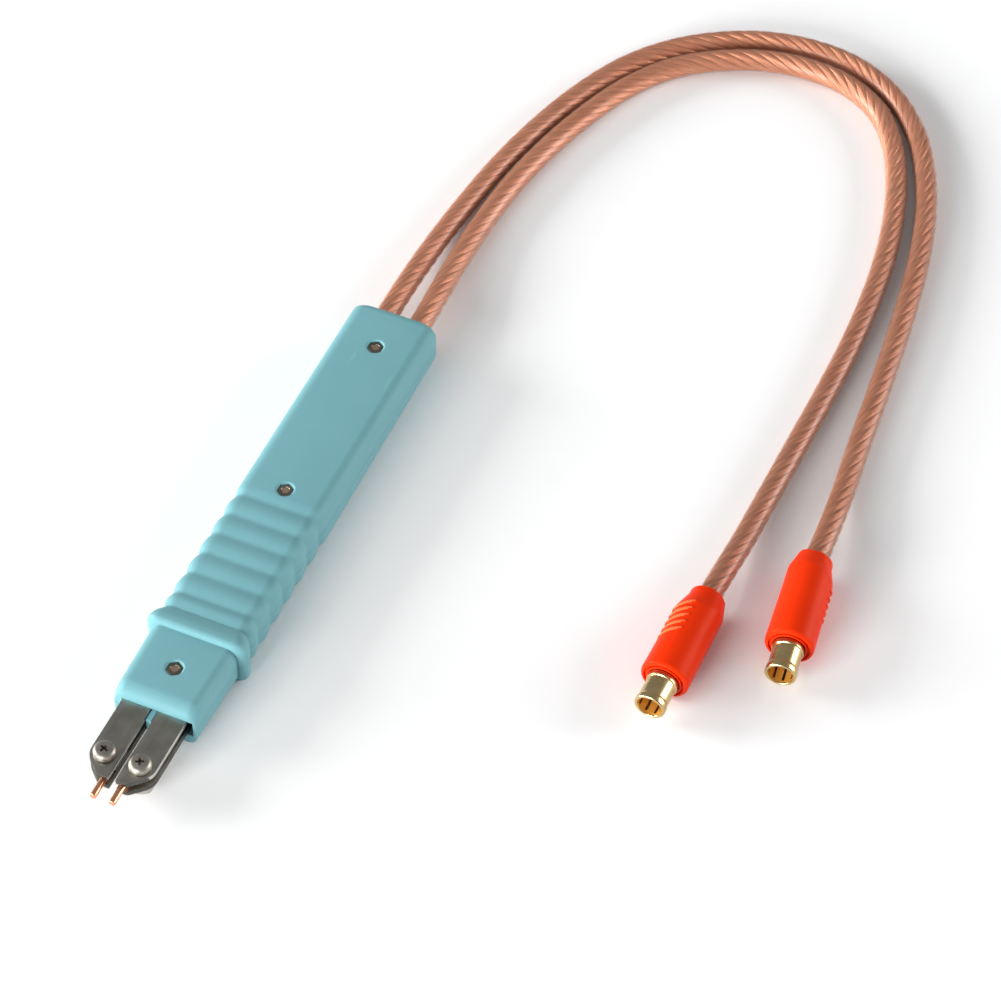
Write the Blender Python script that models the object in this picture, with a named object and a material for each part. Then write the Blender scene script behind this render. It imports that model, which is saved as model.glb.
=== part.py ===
"""Hand-held spot-welding pen: a two-part housing, clamped electrodes, two cables and their plugs.

Metres. +X points to the electrodes and +Z up. The origin is on the table, under the pen's middle.
"""

import math

import bmesh
import bpy
from mathutils import Matrix, Vector

for old in list(bpy.data.objects):
    bpy.data.objects.remove(old)

# Fits
SEAT_GAP = 0.0003  # between two pieces that touch
BORE_FIT = 0.0002  # round a screw, nut, pin or core, on each side

# Cables
CABLE_DIAMETER = 0.0065
CORE_DIAMETER = 0.0048
EXIT_SPACING = 0.0097  # between the two axes at the rear face
CABLE_SUNK = 0.0017  # how far the free stretch starts inside the rear face
CABLE_ROOM = 0.0010  # beside a cable in the housing
CABLE_HEADROOM = 0.00125  # over and under a cable in the housing

# Housing
HOUSING_LENGTH = 0.1410
WALL = 0.0020
BODY_CORNER = 0.0034
REAR_LOW_CORNER = 0.0050  # the lower corners are rounder at the rear
REAR_ROUNDING = 0.0028
REAR_SIDE_ROUNDING = 0.0060  # seen from above
SADDLE_TO_REAR = 0.0260
SADDLE_LENGTH = 0.0030

# Grip
GRIP_VALLEYS = 6
GRIP_PITCH = 0.0069
GRIP_DEPTH = 0.0005
GRIP_TO_MOUTH = 0.0325  # from the foremost valley

# Collar and nose
COLLAR_BASE_TO_MOUTH = 0.0277
COLLAR_RUN = 0.0042  # from its rear base to its crest
COLLAR_CREST = 0.0003
COLLAR_STEP = 0.0016  # from its crest down to the nose
COLLAR_SIDE_RISE = 0.0015
COLLAR_TOP_RISE = 0.0005
COLLAR_LOW_CORNER = 0.0018
NOSE_SIDE_STEP = 0.00105  # from the body's side in to the nose at its mouth
NOSE_STEP = 0.0010  # from the body's top and bottom to the nose's
NOSE_TAPER = 0.0005  # the nose is this much wider at its root, on each side
NOSE_WALL = 0.0013
NOSE_CORNER = 0.0030
LIP_RUN = 0.0042  # length of the rounding over the mouth
LIP_EDGE = 0.0003
LIP_LENGTH = 0.0075  # the stretch of nose that grips the jaws

# Housing screws and nuts
HOUSING_THREAD = 0.0020
HOUSING_HEAD = 0.0038
HOUSING_HEAD_HEIGHT = 0.0014
HOUSING_HEAD_ROUNDING = 0.0008
HOUSING_CROSS_LENGTH = 0.0020
HOUSING_CROSS_WIDTH = 0.0005
HOUSING_CROSS_DEPTH = 0.0008
HOUSING_HEAD_RECESS = 0.0002  # under the nose, where the housing is thinnest
HOUSING_NUT_FLATS = 0.0039
HOUSING_NUT_HEIGHT = 0.0016
HOUSING_NUT_RECESS = 0.0004
BOSS_WALL = 0.0008
POCKET_WALL = 0.0007
POCKET_FLOOR = 0.0009
REAR_SCREW_TO_REAR = 0.01425
MIDDLE_SCREW_TO_MOUTH = 0.07275
FRONT_SCREW_TO_MOUTH = 0.01125

# Jaws
JAW_OUT = 0.02235
JAW_INSIDE = 0.0345
JAW_THICKNESS = 0.0014
JAW_GAP = 0.0021
JAW_SLOT = 0.0020
JAW_SIDE_GAP = 0.0011  # to the side walls of the mouth
JAW_FRONT_WIDTH = 0.00295
JAW_CHAMFER_LENGTH = 0.0045
JAW_CORNER = 0.0020
JAW_SIDE_CORNER = 0.0050
JAW_SHARP_CORNER = 0.0004
DIVIDER_OUT = 0.0032
PAD_LENGTH = 0.0050
PAD_TO_RIVET = 0.0013

# Clamp screws and nuts
CLAMP_TO_FRONT = 0.0060
CLAMP_FROM_EDGE = 0.00385  # from the jaw's inner edge
CLAMP_THREAD = 0.0030
CLAMP_LENGTH = 0.0083
CLAMP_HEAD = 0.0058
CLAMP_HEAD_HEIGHT = 0.0020
CLAMP_HEAD_ROUNDING = 0.0012
CLAMP_CROSS_LENGTH = 0.0032
CLAMP_CROSS_WIDTH = 0.0008
CLAMP_CROSS_DEPTH = 0.0011
CLAMP_NUT_FLATS = 0.0055
CLAMP_NUT_HEIGHT = 0.0024
SCREW_TIP = 0.0003  # bevel at a screw's end

# Electrodes
PIN_DIAMETER = 0.0018
PIN_OUT = 0.0049
PIN_IN = 0.0036
PIN_FROM_CENTRE = 0.0026
PIN_CHAMFER = 0.0002
PLATE_FROM_EDGE = 0.0002  # from the jaw's inner edge
PLATE_BEHIND = 0.0048  # behind the clamp screw
PLATE_SETBACK = 0.0022  # behind the jaw's front
PLATE_FRONT_WIDTH = 0.0008
PLATE_HOLE_WALL = 0.0012  # outside the clamp screw's hole
PLATE_CORNER = 0.0006

# Lugs and rivets
LUG_WALL = 0.0008
BARREL_LENGTH = 0.0100
BARREL_END = 0.0010
LUG_NECK = 0.0060
TONGUE_WIDTH = 0.0060
TONGUE_IN_JAWS = 0.0120
TONGUE_BEHIND = 0.0010
BARE_CORE = 0.0040  # seen between the jacket and the lug
RIVET_DIAMETER = 0.0024
RIVET_HEAD = 0.0044
RIVET_HEAD_HEIGHT = 0.0008
RIVET_INSET = 0.0050

# Plugs
SOCKET_BORE = 0.0064
SOCKET_WALL = 0.0008
SOCKET_OUT = 0.0090
SOCKET_BORE_DEPTH = 0.0145
SOCKET_WEB = 0.0020
CUP_DEPTH = 0.0060
BOOT_LENGTH = 0.0289
BOOT_WALL = 0.0022
BOOT_TAPER = 0.00025
BOOT_RIM = 0.0014
NECK_WALL = 0.00115
NECK_BEVEL = 0.0007
NECK_LENGTH = 0.0010
SHOULDER_LENGTH = 0.0050
CABLE_IN_BOOT = 0.0123
GROOVE_WIDTH = 0.0006
GROOVE_DEPTH = 0.0007
GROOVE_LIP = 0.0006
SOCKET_BEVEL = 0.0003

# How finely round shapes are cut
CORNER_STEPS = 4
RIDGE_STEPS = 4
ROUND_SIDES = 20
SMALL_SIDES = 14
CABLE_SIDES_RESOLUTION = 3
CABLE_STEP = 0.0165
MERGE = 0.000001

# Routes: behind the rear face, sideways, and lift of the axis above a cable that lies on the table
ROUTE_LEFT = (
    (-0.0140, 0.0043, 0.0030), (-0.0300, 0.0033, 0.0013), (-0.0480, 0.0031, 0.0001), (-0.0670, 0.0047, 0),
    (-0.0840, 0.0080, 0), (-0.1000, 0.0126, 0), (-0.1160, 0.0193, 0), (-0.1285, 0.0282, 0),
    (-0.1372, 0.0398, 0), (-0.1425, 0.0525, 0), (-0.1440, 0.0650, 0), (-0.1420, 0.0775, 0),
    (-0.1350, 0.0890, 0), (-0.1240, 0.0973, 0), (-0.1112, 0.1030, 0), (-0.0972, 0.1072, 0),
    (-0.0810, 0.1103, 0), (-0.0630, 0.1121, 0), (-0.0450, 0.1128, 0), (-0.0265, 0.1126, 0),
    (-0.0075, 0.1120, 0), (0.0115, 0.1114, 0.0001), (0.0280, 0.1111, 0.0010), (0.0400, 0.1107, 0.0024),
)
ROUTE_RIGHT = (
    (-0.0140, -0.0052, 0.0030), (-0.0310, -0.0054, 0.0013), (-0.0500, -0.0045, 0.0001), (-0.0705, -0.0020, 0),
    (-0.0885, 0.0017, 0), (-0.1055, 0.0068, 0), (-0.1220, 0.0142, 0), (-0.1350, 0.0242, 0),
    (-0.1445, 0.0366, 0), (-0.1504, 0.0503, 0), (-0.1522, 0.0643, 0), (-0.1500, 0.0780, 0),
    (-0.1428, 0.0910, 0), (-0.1312, 0.1017, 0), (-0.1174, 0.1093, 0), (-0.1018, 0.1150, 0),
    (-0.0843, 0.1191, 0), (-0.0655, 0.1220, 0), (-0.0470, 0.1241, 0), (-0.0295, 0.1257, 0),
    (-0.0125, 0.1272, 0.0001), (0.0020, 0.1288, 0.0009), (0.0140, 0.1299, 0.0022),
)
PLUG_LEFT = (0.0513, 0.11017)  # where the boot's rear lies, in the same way
PLUG_RIGHT = (0.02938, 0.13076)
PLUG_LEFT_TURN = -1.0  # degrees from +X
PLUG_RIGHT_TURN = 7.1

# What follows from the sizes above
BOSS_RADIUS = HOUSING_THREAD / 2 + BORE_FIT + BOSS_WALL
CABLE_Y = BOSS_RADIUS + SEAT_GAP + CABLE_DIAMETER / 2
BODY_HALF = CABLE_Y + CABLE_DIAMETER / 2 + CABLE_ROOM + GRIP_DEPTH + WALL
BODY_HEIGHT = 2 * (CABLE_DIAMETER / 2 + CABLE_HEADROOM + GRIP_DEPTH + WALL)
MID_Z = BODY_HEIGHT / 2
PEN_LENGTH = HOUSING_LENGTH + JAW_OUT + PIN_OUT
REAR_X = -PEN_LENGTH / 2
MOUTH_X = REAR_X + HOUSING_LENGTH
JAW_FRONT_X = MOUTH_X + JAW_OUT
JAW_REAR_X = MOUTH_X - JAW_INSIDE
GRIP_X = MOUTH_X - GRIP_TO_MOUTH - (GRIP_VALLEYS - 1) * GRIP_PITCH
COLLAR_X = MOUTH_X - COLLAR_BASE_TO_MOUTH
NOSE_HALF = BODY_HALF - NOSE_SIDE_STEP
NOSE_TOP = BODY_HEIGHT - NOSE_STEP
JAW_OUTER_Y = NOSE_HALF - NOSE_WALL - JAW_SIDE_GAP
JAW_INNER_Y = JAW_SLOT / 2
JAW_TOP = MID_Z + JAW_GAP / 2 + JAW_THICKNESS
JAW_BOTTOM = MID_Z - JAW_GAP / 2 - JAW_THICKNESS
MOUTH_TOP = JAW_TOP + SEAT_GAP
MOUTH_BOTTOM = JAW_BOTTOM - SEAT_GAP
HOUSING_SCREW_LENGTH = (
    BODY_HEIGHT - 2 * NOSE_STEP - HOUSING_NUT_RECESS - HOUSING_HEAD_RECESS - HOUSING_HEAD_HEIGHT
)
POCKET_RADIUS = (HOUSING_NUT_FLATS / 2 + BORE_FIT) / math.cos(math.pi / 6)
COLUMN_RADIUS = POCKET_RADIUS + POCKET_WALL
COUNTERBORE_RADIUS = HOUSING_HEAD / 2 + BORE_FIT
CLAMP_X = JAW_FRONT_X - CLAMP_TO_FRONT
CLAMP_Y = JAW_INNER_Y + CLAMP_FROM_EDGE
CLAMP_RADIUS = CLAMP_THREAD / 2
RIVET_X = JAW_REAR_X + RIVET_INSET
RIVET_Y = (JAW_INNER_Y + JAW_OUTER_Y) / 2
FLAT_THICKNESS = JAW_GAP - 2 * SEAT_GAP  # of the plates and tongues between the jaws
CORE_RADIUS = CORE_DIAMETER / 2
BARREL_RADIUS = CORE_RADIUS + BORE_FIT + LUG_WALL
NECK_X = JAW_REAR_X - TONGUE_BEHIND - LUG_NECK
LUG_X = NECK_X - BARREL_LENGTH
JACKET_END_X = LUG_X - BARE_CORE
SOCKET_RADIUS = SOCKET_BORE / 2 + SOCKET_WALL
BOOT_BORE = SOCKET_RADIUS + BORE_FIT
BOOT_RADIUS = BOOT_BORE + BOOT_WALL
BOOT_CABLE_BORE = CABLE_DIAMETER / 2 + SEAT_GAP
SOCKET_MOUTH = BOOT_LENGTH + SOCKET_OUT
SOCKET_REAR = SOCKET_MOUTH - SOCKET_BORE_DEPTH - SOCKET_WEB - CUP_DEPTH
SIDES = (("left", 1), ("right", -1))


def finish(colour, roughness, metallic):
    """One Principled material for each finish."""
    made = bpy.data.materials.new("finish")
    made.use_nodes = True
    shader = made.node_tree.nodes["Principled BSDF"]
    shader.inputs["Base Color"].default_value = (*colour, 1)
    shader.inputs["Roughness"].default_value = roughness
    shader.inputs["Metallic"].default_value = metallic
    return made


TEAL_PLASTIC = finish((0.18, 0.42, 0.47), 0.45, 0)
NICKEL_PLATE = finish((0.42, 0.40, 0.36), 0.35, 1)
SCREW_STEEL = finish((0.52, 0.50, 0.47), 0.30, 1)
YELLOW_ZINC = finish((0.60, 0.55, 0.33), 0.35, 1)
COPPER = finish((0.80, 0.36, 0.20), 0.30, 1)
CLEAR_JACKET = finish((0.55, 0.27, 0.18), 0.30, 0)
RED_PLASTIC = finish((0.80, 0.06, 0.02), 0.40, 0)
GOLD_PLATE = finish((0.80, 0.58, 0.25), 0.20, 1)


def to_object(bm, name):
    mesh = bpy.data.meshes.new(name)
    bm.to_mesh(mesh)
    bm.free()
    made = bpy.data.objects.new(name, mesh)
    bpy.context.collection.objects.link(made)
    return made


def dress(made, material, parent=None):
    """Give a finished piece its material, its smooth shading and what carries it."""
    mesh = made.data
    mesh.materials.clear()
    mesh.materials.append(material)
    for face in mesh.polygons:
        face.material_index = 0
    mesh.shade_smooth()
    mesh.set_sharp_from_angle(angle=math.radians(35))
    made.parent = parent
    return made


def carrier(name, place, turn=0.0):
    """An empty that pieces are placed by."""
    made = bpy.data.objects.new(name, None)
    made.location = place
    made.rotation_euler = (0, 0, math.radians(turn))
    bpy.context.collection.objects.link(made)
    return made


def combine(target, tool, operation):
    """Join a tool to a piece or cut it out, and remove the tool."""
    modifier = target.modifiers.new("combine", "BOOLEAN")
    modifier.operation = operation
    modifier.object = tool
    evaluated = target.evaluated_get(bpy.context.evaluated_depsgraph_get())
    mesh = bpy.data.meshes.new_from_object(evaluated)
    target.modifiers.clear()
    target.data = mesh
    bpy.data.objects.remove(tool)


def add_box(bm, low, high):
    size = Vector(high) - Vector(low)
    centre = (Vector(high) + Vector(low)) / 2
    bmesh.ops.create_cube(bm, size=1, matrix=Matrix.Translation(centre) @ Matrix.Diagonal((*size, 1)))


def add_cylinder(bm, radius, start, end, sides=ROUND_SIDES):
    """A cylinder, or a prism with few sides, from one point to another."""
    run = Vector(end) - Vector(start)
    turn = run.to_track_quat("Z", "Y").to_matrix().to_4x4()
    place = Matrix.Translation((Vector(start) + Vector(end)) / 2) @ turn
    bmesh.ops.create_cone(
        bm, cap_ends=True, segments=sides, radius1=radius, radius2=radius, depth=run.length, matrix=place
    )


def add_turned(bm, outline, sides=ROUND_SIDES, ring=False):
    """Spin an outline of radius and height round Z. A ring's outline closes on itself."""
    verts = [bm.verts.new((radius, 0, height)) for radius, height in outline]
    edges = [bm.edges.new(pair) for pair in zip(verts, verts[1:])]
    if ring:
        edges.append(bm.edges.new((verts[-1], verts[0])))
    bmesh.ops.spin(
        bm, geom=verts + edges, cent=(0, 0, 0), axis=(0, 0, 1), angle=2 * math.pi, steps=sides, use_merge=True
    )
    bmesh.ops.remove_doubles(bm, verts=bm.verts, dist=MERGE)
    bmesh.ops.recalc_face_normals(bm, faces=bm.faces)


def lay_along_x(bm):
    """Turn what was made along Z so that it points along X."""
    bmesh.ops.rotate(bm, verts=bm.verts, cent=(0, 0, 0), matrix=Matrix.Rotation(math.pi / 2, 3, "Y"))


def loft(rings):
    """A closed skin through rings that have the same number of points."""
    bm = bmesh.new()
    loops = []
    for points in rings:
        verts = [bm.verts.new(point) for point in points]
        loops.append([bm.edges.new((verts[i - 1], verts[i])) for i in range(len(verts))])
    for near, far in zip(loops, loops[1:]):
        bmesh.ops.bridge_loops(bm, edges=near + far)
    bmesh.ops.holes_fill(bm, edges=bm.edges, sides=0)
    bmesh.ops.recalc_face_normals(bm, faces=bm.faces)
    return bm


def section(x, half_width, bottom, top, corner, centre_y=0.0, low_corner=None):
    """A rounded rectangle across the pen at x. Its lower corners can have their own radius."""
    largest = min(half_width, (top - bottom) / 2)
    high = min(corner, largest)
    low = high if low_corner is None else min(low_corner, largest)
    points = []
    for i, (across, height, radius) in enumerate(
        (
            (half_width - high, top - high, high),
            (high - half_width, top - high, high),
            (low - half_width, bottom + low, low),
            (half_width - low, bottom + low, low),
        )
    ):
        for step in range(CORNER_STEPS + 1):
            turn = (i + step / CORNER_STEPS) * math.pi / 2
            y = centre_y + across + radius * math.cos(turn)
            points.append((x, y, height + radius * math.sin(turn)))
    return points


def rounded(corners, steps=4):
    """An outline with each corner (x, y, radius) rounded by an arc."""
    points = []
    for i, (x, y, radius) in enumerate(corners):
        here = Vector((x, y))
        before = (Vector(corners[i - 1][:2]) - here).normalized()
        after = (Vector(corners[(i + 1) % len(corners)][:2]) - here).normalized()
        if radius == 0:
            points.append(here)
            continue
        half = before.angle(after) / 2
        centre = here + (before + after).normalized() * radius / math.sin(half)
        start = here + before * radius / math.tan(half) - centre
        end = here + after * radius / math.tan(half) - centre
        swing = start.angle_signed(end)
        for step in range(steps + 1):
            points.append(centre + Matrix.Rotation(-swing * step / steps, 2) @ start)
    return points


def plate(name, outline, low, high):
    """A flat plate between two heights."""
    bm = bmesh.new()
    face = bm.faces.new([bm.verts.new((x, y, low)) for x, y in outline])
    raised = bmesh.ops.extrude_face_region(bm, geom=[face])["geom"]
    verts = [part for part in raised if isinstance(part, bmesh.types.BMVert)]
    bmesh.ops.translate(bm, verts=verts, vec=(0, 0, high - low))
    bmesh.ops.recalc_face_normals(bm, faces=bm.faces)
    return to_object(bm, name)


def drill(target, holes, low, high):
    """Cut upright round holes, given as (x, y, radius)."""
    bm = bmesh.new()
    for x, y, radius in holes:
        add_cylinder(bm, radius, (x, y, low), (x, y, high))
    combine(target, to_object(bm, "drill"), "DIFFERENCE")


def quarter(steps):
    """Angles from 0 to a quarter turn, in even steps."""
    return [math.pi / 2 * step / steps for step in range(steps + 1)]


def blend(start, end, share):
    """From start to end, level at both ends."""
    return start + (end - start) * share * share * (3 - 2 * share)


def body_section(x, inset):
    return section(x, BODY_HALF - inset, inset, BODY_HEIGHT - inset, BODY_CORNER)


def ridge(start, end, first=0.0):
    """Sections over one grip ridge, from valley to valley, from a share of its length onwards."""
    steps = round(RIDGE_STEPS * (1 - first))
    made = []
    for step in range(steps):
        share = first + (1 - first) * step / steps
        inset = GRIP_DEPTH * (1 - math.sin(math.pi * share))
        made.append(body_section(start + (end - start) * share, inset))
    return made


def housing_skin():
    """The outer form: rounded rear, plain body, ridged grip, collar, and nose with its rounded lip."""
    rings = []
    for turn in quarter(4):
        x = REAR_X + REAR_ROUNDING * (1 - math.cos(turn))
        half = BODY_HALF - REAR_SIDE_ROUNDING * (1 - math.sin(turn))
        inset = REAR_ROUNDING * (1 - math.sin(turn))
        rings.append(section(x, half, inset, BODY_HEIGHT - inset, BODY_CORNER, low_corner=REAR_LOW_CORNER))
    rings += ridge(GRIP_X - GRIP_PITCH, GRIP_X, 0.5)
    for valley in range(GRIP_VALLEYS - 1):
        rings += ridge(GRIP_X + valley * GRIP_PITCH, GRIP_X + (valley + 1) * GRIP_PITCH)
    rings += ridge(MOUTH_X - GRIP_TO_MOUTH, COLLAR_X)

    collar_half = BODY_HALF + COLLAR_SIDE_RISE
    collar_top = BODY_HEIGHT + COLLAR_TOP_RISE
    for share in (0, 0.25, 0.5, 0.75, 1):
        rings.append(
            section(
                COLLAR_X + COLLAR_RUN * share,
                blend(BODY_HALF - GRIP_DEPTH, collar_half, share),
                blend(GRIP_DEPTH, 0, share),
                blend(BODY_HEIGHT - GRIP_DEPTH, collar_top, share),
                BODY_CORNER,
                low_corner=COLLAR_LOW_CORNER,
            )
        )
    step_x = COLLAR_X + COLLAR_RUN + COLLAR_CREST
    for share in (0, 0.25, 0.5, 0.75, 1):
        rings.append(
            section(
                step_x + COLLAR_STEP * share,
                blend(collar_half, NOSE_HALF + NOSE_TAPER, share),
                blend(0, NOSE_STEP, share),
                blend(collar_top, NOSE_TOP, share),
                blend(BODY_CORNER, NOSE_CORNER, share),
                low_corner=blend(COLLAR_LOW_CORNER, NOSE_CORNER, share),
            )
        )
    nose_x = step_x + COLLAR_STEP
    for turn in quarter(5):
        x = MOUTH_X - LIP_RUN * (1 - math.sin(turn))
        half = NOSE_HALF + NOSE_TAPER * (MOUTH_X - x) / (MOUTH_X - nose_x)
        drop = (NOSE_TOP - MOUTH_TOP - LIP_EDGE) * (1 - math.cos(turn))
        rings.append(section(x, half, NOSE_STEP, NOSE_TOP - drop, NOSE_CORNER))
    return to_object(loft(rings), "housing")


def housing_hollow():
    """The space inside, up to the lips that grip the jaws."""
    corner = max(BODY_CORNER - WALL, SEAT_GAP)
    thin = GRIP_DEPTH + WALL
    nose_x = COLLAR_X + COLLAR_RUN + COLLAR_CREST + COLLAR_STEP
    nose_half = NOSE_HALF - NOSE_WALL
    nose_low = NOSE_STEP + NOSE_WALL
    rings = [
        section(REAR_X + WALL, BODY_HALF - WALL, WALL, BODY_HEIGHT - WALL, corner),
        section(GRIP_X - GRIP_PITCH, BODY_HALF - WALL, WALL, BODY_HEIGHT - WALL, corner),
        section(GRIP_X - GRIP_PITCH / 2, BODY_HALF - thin, thin, BODY_HEIGHT - thin, corner),
        section(COLLAR_X, BODY_HALF - thin, thin, BODY_HEIGHT - thin, corner),
        section(nose_x, nose_half, nose_low, BODY_HEIGHT - nose_low, corner),
        section(MOUTH_X - LIP_LENGTH, nose_half, nose_low, BODY_HEIGHT - nose_low, corner),
    ]
    return to_object(loft(rings), "hollow")


HOUSING_SCREWS = (
    ("rear", REAR_X + REAR_SCREW_TO_REAR, BODY_HEIGHT, WALL),
    ("middle", MOUTH_X - MIDDLE_SCREW_TO_MOUTH, BODY_HEIGHT, WALL),
    ("front", MOUTH_X - FRONT_SCREW_TO_MOUTH, NOSE_TOP, NOSE_WALL),
)


def nut_top(top):
    return top - HOUSING_NUT_RECESS


def head_seat(top):
    """The height of a housing screw head's bearing face."""
    return nut_top(top) - HOUSING_SCREW_LENGTH


def add_column(housing, x, top, wall):
    """A screw's boss, with its nut pocket above and the counterbore for its head below."""
    bottom = BODY_HEIGHT - top
    pocket = nut_top(top) - HOUSING_NUT_HEIGHT - SEAT_GAP
    seat = head_seat(top) + SEAT_GAP
    bm = bmesh.new()
    add_turned(
        bm,
        [
            (0, top - wall / 2),
            (COLUMN_RADIUS, top - wall / 2),
            (COLUMN_RADIUS, pocket - POCKET_FLOOR),
            (BOSS_RADIUS, pocket - POCKET_FLOOR),
            (BOSS_RADIUS, seat + POCKET_FLOOR),
            (COUNTERBORE_RADIUS + POCKET_WALL, seat + POCKET_FLOOR),
            (COUNTERBORE_RADIUS + POCKET_WALL, bottom + wall / 2),
            (0, bottom + wall / 2),
        ],
    )
    bmesh.ops.translate(bm, verts=bm.verts, vec=(x, 0, 0))
    combine(housing, to_object(bm, "column"), "UNION")

    shaft = HOUSING_THREAD / 2 + BORE_FIT
    bm = bmesh.new()
    add_turned(
        bm,
        [
            (0, top),
            (shaft, top),
            (shaft, seat),
            (COUNTERBORE_RADIUS, seat),
            (COUNTERBORE_RADIUS, bottom - WALL),
            (0, bottom - WALL),
        ],
        SMALL_SIDES,
    )
    bmesh.ops.translate(bm, verts=bm.verts, vec=(x, 0, 0))
    combine(housing, to_object(bm, "screw_way"), "DIFFERENCE")
    bm = bmesh.new()
    add_cylinder(bm, POCKET_RADIUS, (x, 0, pocket), (x, 0, top + WALL), 6)
    combine(housing, to_object(bm, "nut_pocket"), "DIFFERENCE")


def make_shells():
    housing = housing_skin()
    combine(housing, housing_hollow(), "DIFFERENCE")

    bm = bmesh.new()
    saddle = REAR_X + SADDLE_TO_REAR
    across = BODY_HALF - WALL / 2
    add_box(bm, (saddle, -across, WALL / 2), (saddle + SADDLE_LENGTH, across, BODY_HEIGHT - WALL / 2))
    combine(housing, to_object(bm, "saddle"), "UNION")

    pad_x = RIVET_X + RIVET_HEAD / 2 + PAD_TO_RIVET
    deep = GRIP_DEPTH + WALL / 2
    bm = bmesh.new()
    for low, high in ((deep, MOUTH_BOTTOM), (MOUTH_TOP, BODY_HEIGHT - deep)):
        add_box(bm, (pad_x, -JAW_OUTER_Y, low), (pad_x + PAD_LENGTH, JAW_OUTER_Y, high))
    combine(housing, to_object(bm, "jaw_pads"), "UNION")

    for _, x, top, wall in HOUSING_SCREWS:
        add_column(housing, x, top, wall)

    bm = bmesh.new()
    for _, side in SIDES:
        y = side * EXIT_SPACING / 2
        bore = CABLE_DIAMETER / 2 + SEAT_GAP
        add_cylinder(bm, bore, (REAR_X - WALL, y, MID_Z), (REAR_X + 2 * WALL, y, MID_Z))
        y = side * CABLE_Y
        add_cylinder(bm, bore, (saddle - WALL, y, MID_Z), (saddle + SADDLE_LENGTH + WALL, y, MID_Z))
    combine(housing, to_object(bm, "cable_ways"), "DIFFERENCE")

    bm = bmesh.new()
    half = JAW_OUTER_Y + JAW_SIDE_GAP
    add_box(bm, (MOUTH_X - LIP_LENGTH - WALL, -half, MOUTH_BOTTOM), (MOUTH_X + WALL, half, MOUTH_TOP))
    combine(housing, to_object(bm, "mouth"), "DIFFERENCE")

    upper, lower = housing, housing.copy()
    lower.data = housing.data.copy()
    bpy.context.collection.objects.link(lower)
    upper.name, lower.name = "upper_shell", "lower_shell"
    far = PEN_LENGTH
    for shell, low, high in (
        (upper, -far, MID_Z + SEAT_GAP / 2),
        (lower, MID_Z - SEAT_GAP / 2, far),
    ):
        bm = bmesh.new()
        add_box(bm, (-far, -far, low), (far, far, high))
        combine(shell, to_object(bm, "parting"), "DIFFERENCE")

    half = JAW_INNER_Y - SEAT_GAP
    high = JAW_TOP - SEAT_GAP
    front_x = MOUTH_X - FRONT_SCREW_TO_MOUTH
    around = COLUMN_RADIUS + SEAT_GAP
    bm = bmesh.new()
    add_box(bm, (LUG_X, -half, WALL), (front_x - around, half, high))
    add_box(bm, (front_x + around, -half, MOUTH_BOTTOM - LIP_EDGE), (MOUTH_X + DIVIDER_OUT, half, high))
    combine(lower, to_object(bm, "divider"), "UNION")
    dress(upper, TEAL_PLASTIC)
    dress(lower, TEAL_PLASTIC)


def add_hexagon_nut(name, flats, height, bore, place):
    bm = bmesh.new()
    add_cylinder(bm, flats / 2 / math.cos(math.pi / 6), (0, 0, -height / 2), (0, 0, height / 2), 6)
    nut = to_object(bm, name)
    drill(nut, [(0, 0, bore)], -height, height)
    dress(nut, SCREW_STEEL)
    nut.location = place


def add_screw(name, shank, length, head, cross, place, head_up=True):
    """A pan-head screw with a cross recess. Its origin is on its axis, under its head."""
    radius, high, rounding = head
    outline = [(0, -length), (shank - SCREW_TIP, -length), (shank, SCREW_TIP - length)]
    outline += [(shank, 0), (radius, 0)]
    for turn in quarter(3):
        outline.append((radius - rounding * (1 - math.cos(turn)), high - rounding * (1 - math.sin(turn))))
    outline.append((0, high))
    bm = bmesh.new()
    add_turned(bm, outline, SMALL_SIDES)
    screw = to_object(bm, name)
    long, wide, deep = cross
    for x, y in ((long / 2, wide / 2), (wide / 2, long / 2)):
        bm = bmesh.new()
        add_box(bm, (-x, -y, high - deep), (x, y, high + deep))
        combine(screw, to_object(bm, "cross"), "DIFFERENCE")
    dress(screw, SCREW_STEEL)
    screw.location = place
    if not head_up:
        screw.rotation_euler = (math.pi, 0, 0)


def make_housing_fasteners():
    for name, x, top, _ in HOUSING_SCREWS:
        middle = nut_top(top) - HOUSING_NUT_HEIGHT / 2
        bore = HOUSING_THREAD / 2 + BORE_FIT
        add_hexagon_nut(f"housing_nut_{name}", HOUSING_NUT_FLATS, HOUSING_NUT_HEIGHT, bore, (x, 0, middle))
        add_screw(
            f"housing_screw_{name}",
            HOUSING_THREAD / 2,
            HOUSING_SCREW_LENGTH,
            (HOUSING_HEAD / 2, HOUSING_HEAD_HEIGHT, HOUSING_HEAD_ROUNDING),
            (HOUSING_CROSS_LENGTH, HOUSING_CROSS_WIDTH, HOUSING_CROSS_DEPTH),
            (x, 0, head_seat(top)),
            head_up=False,
        )


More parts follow.
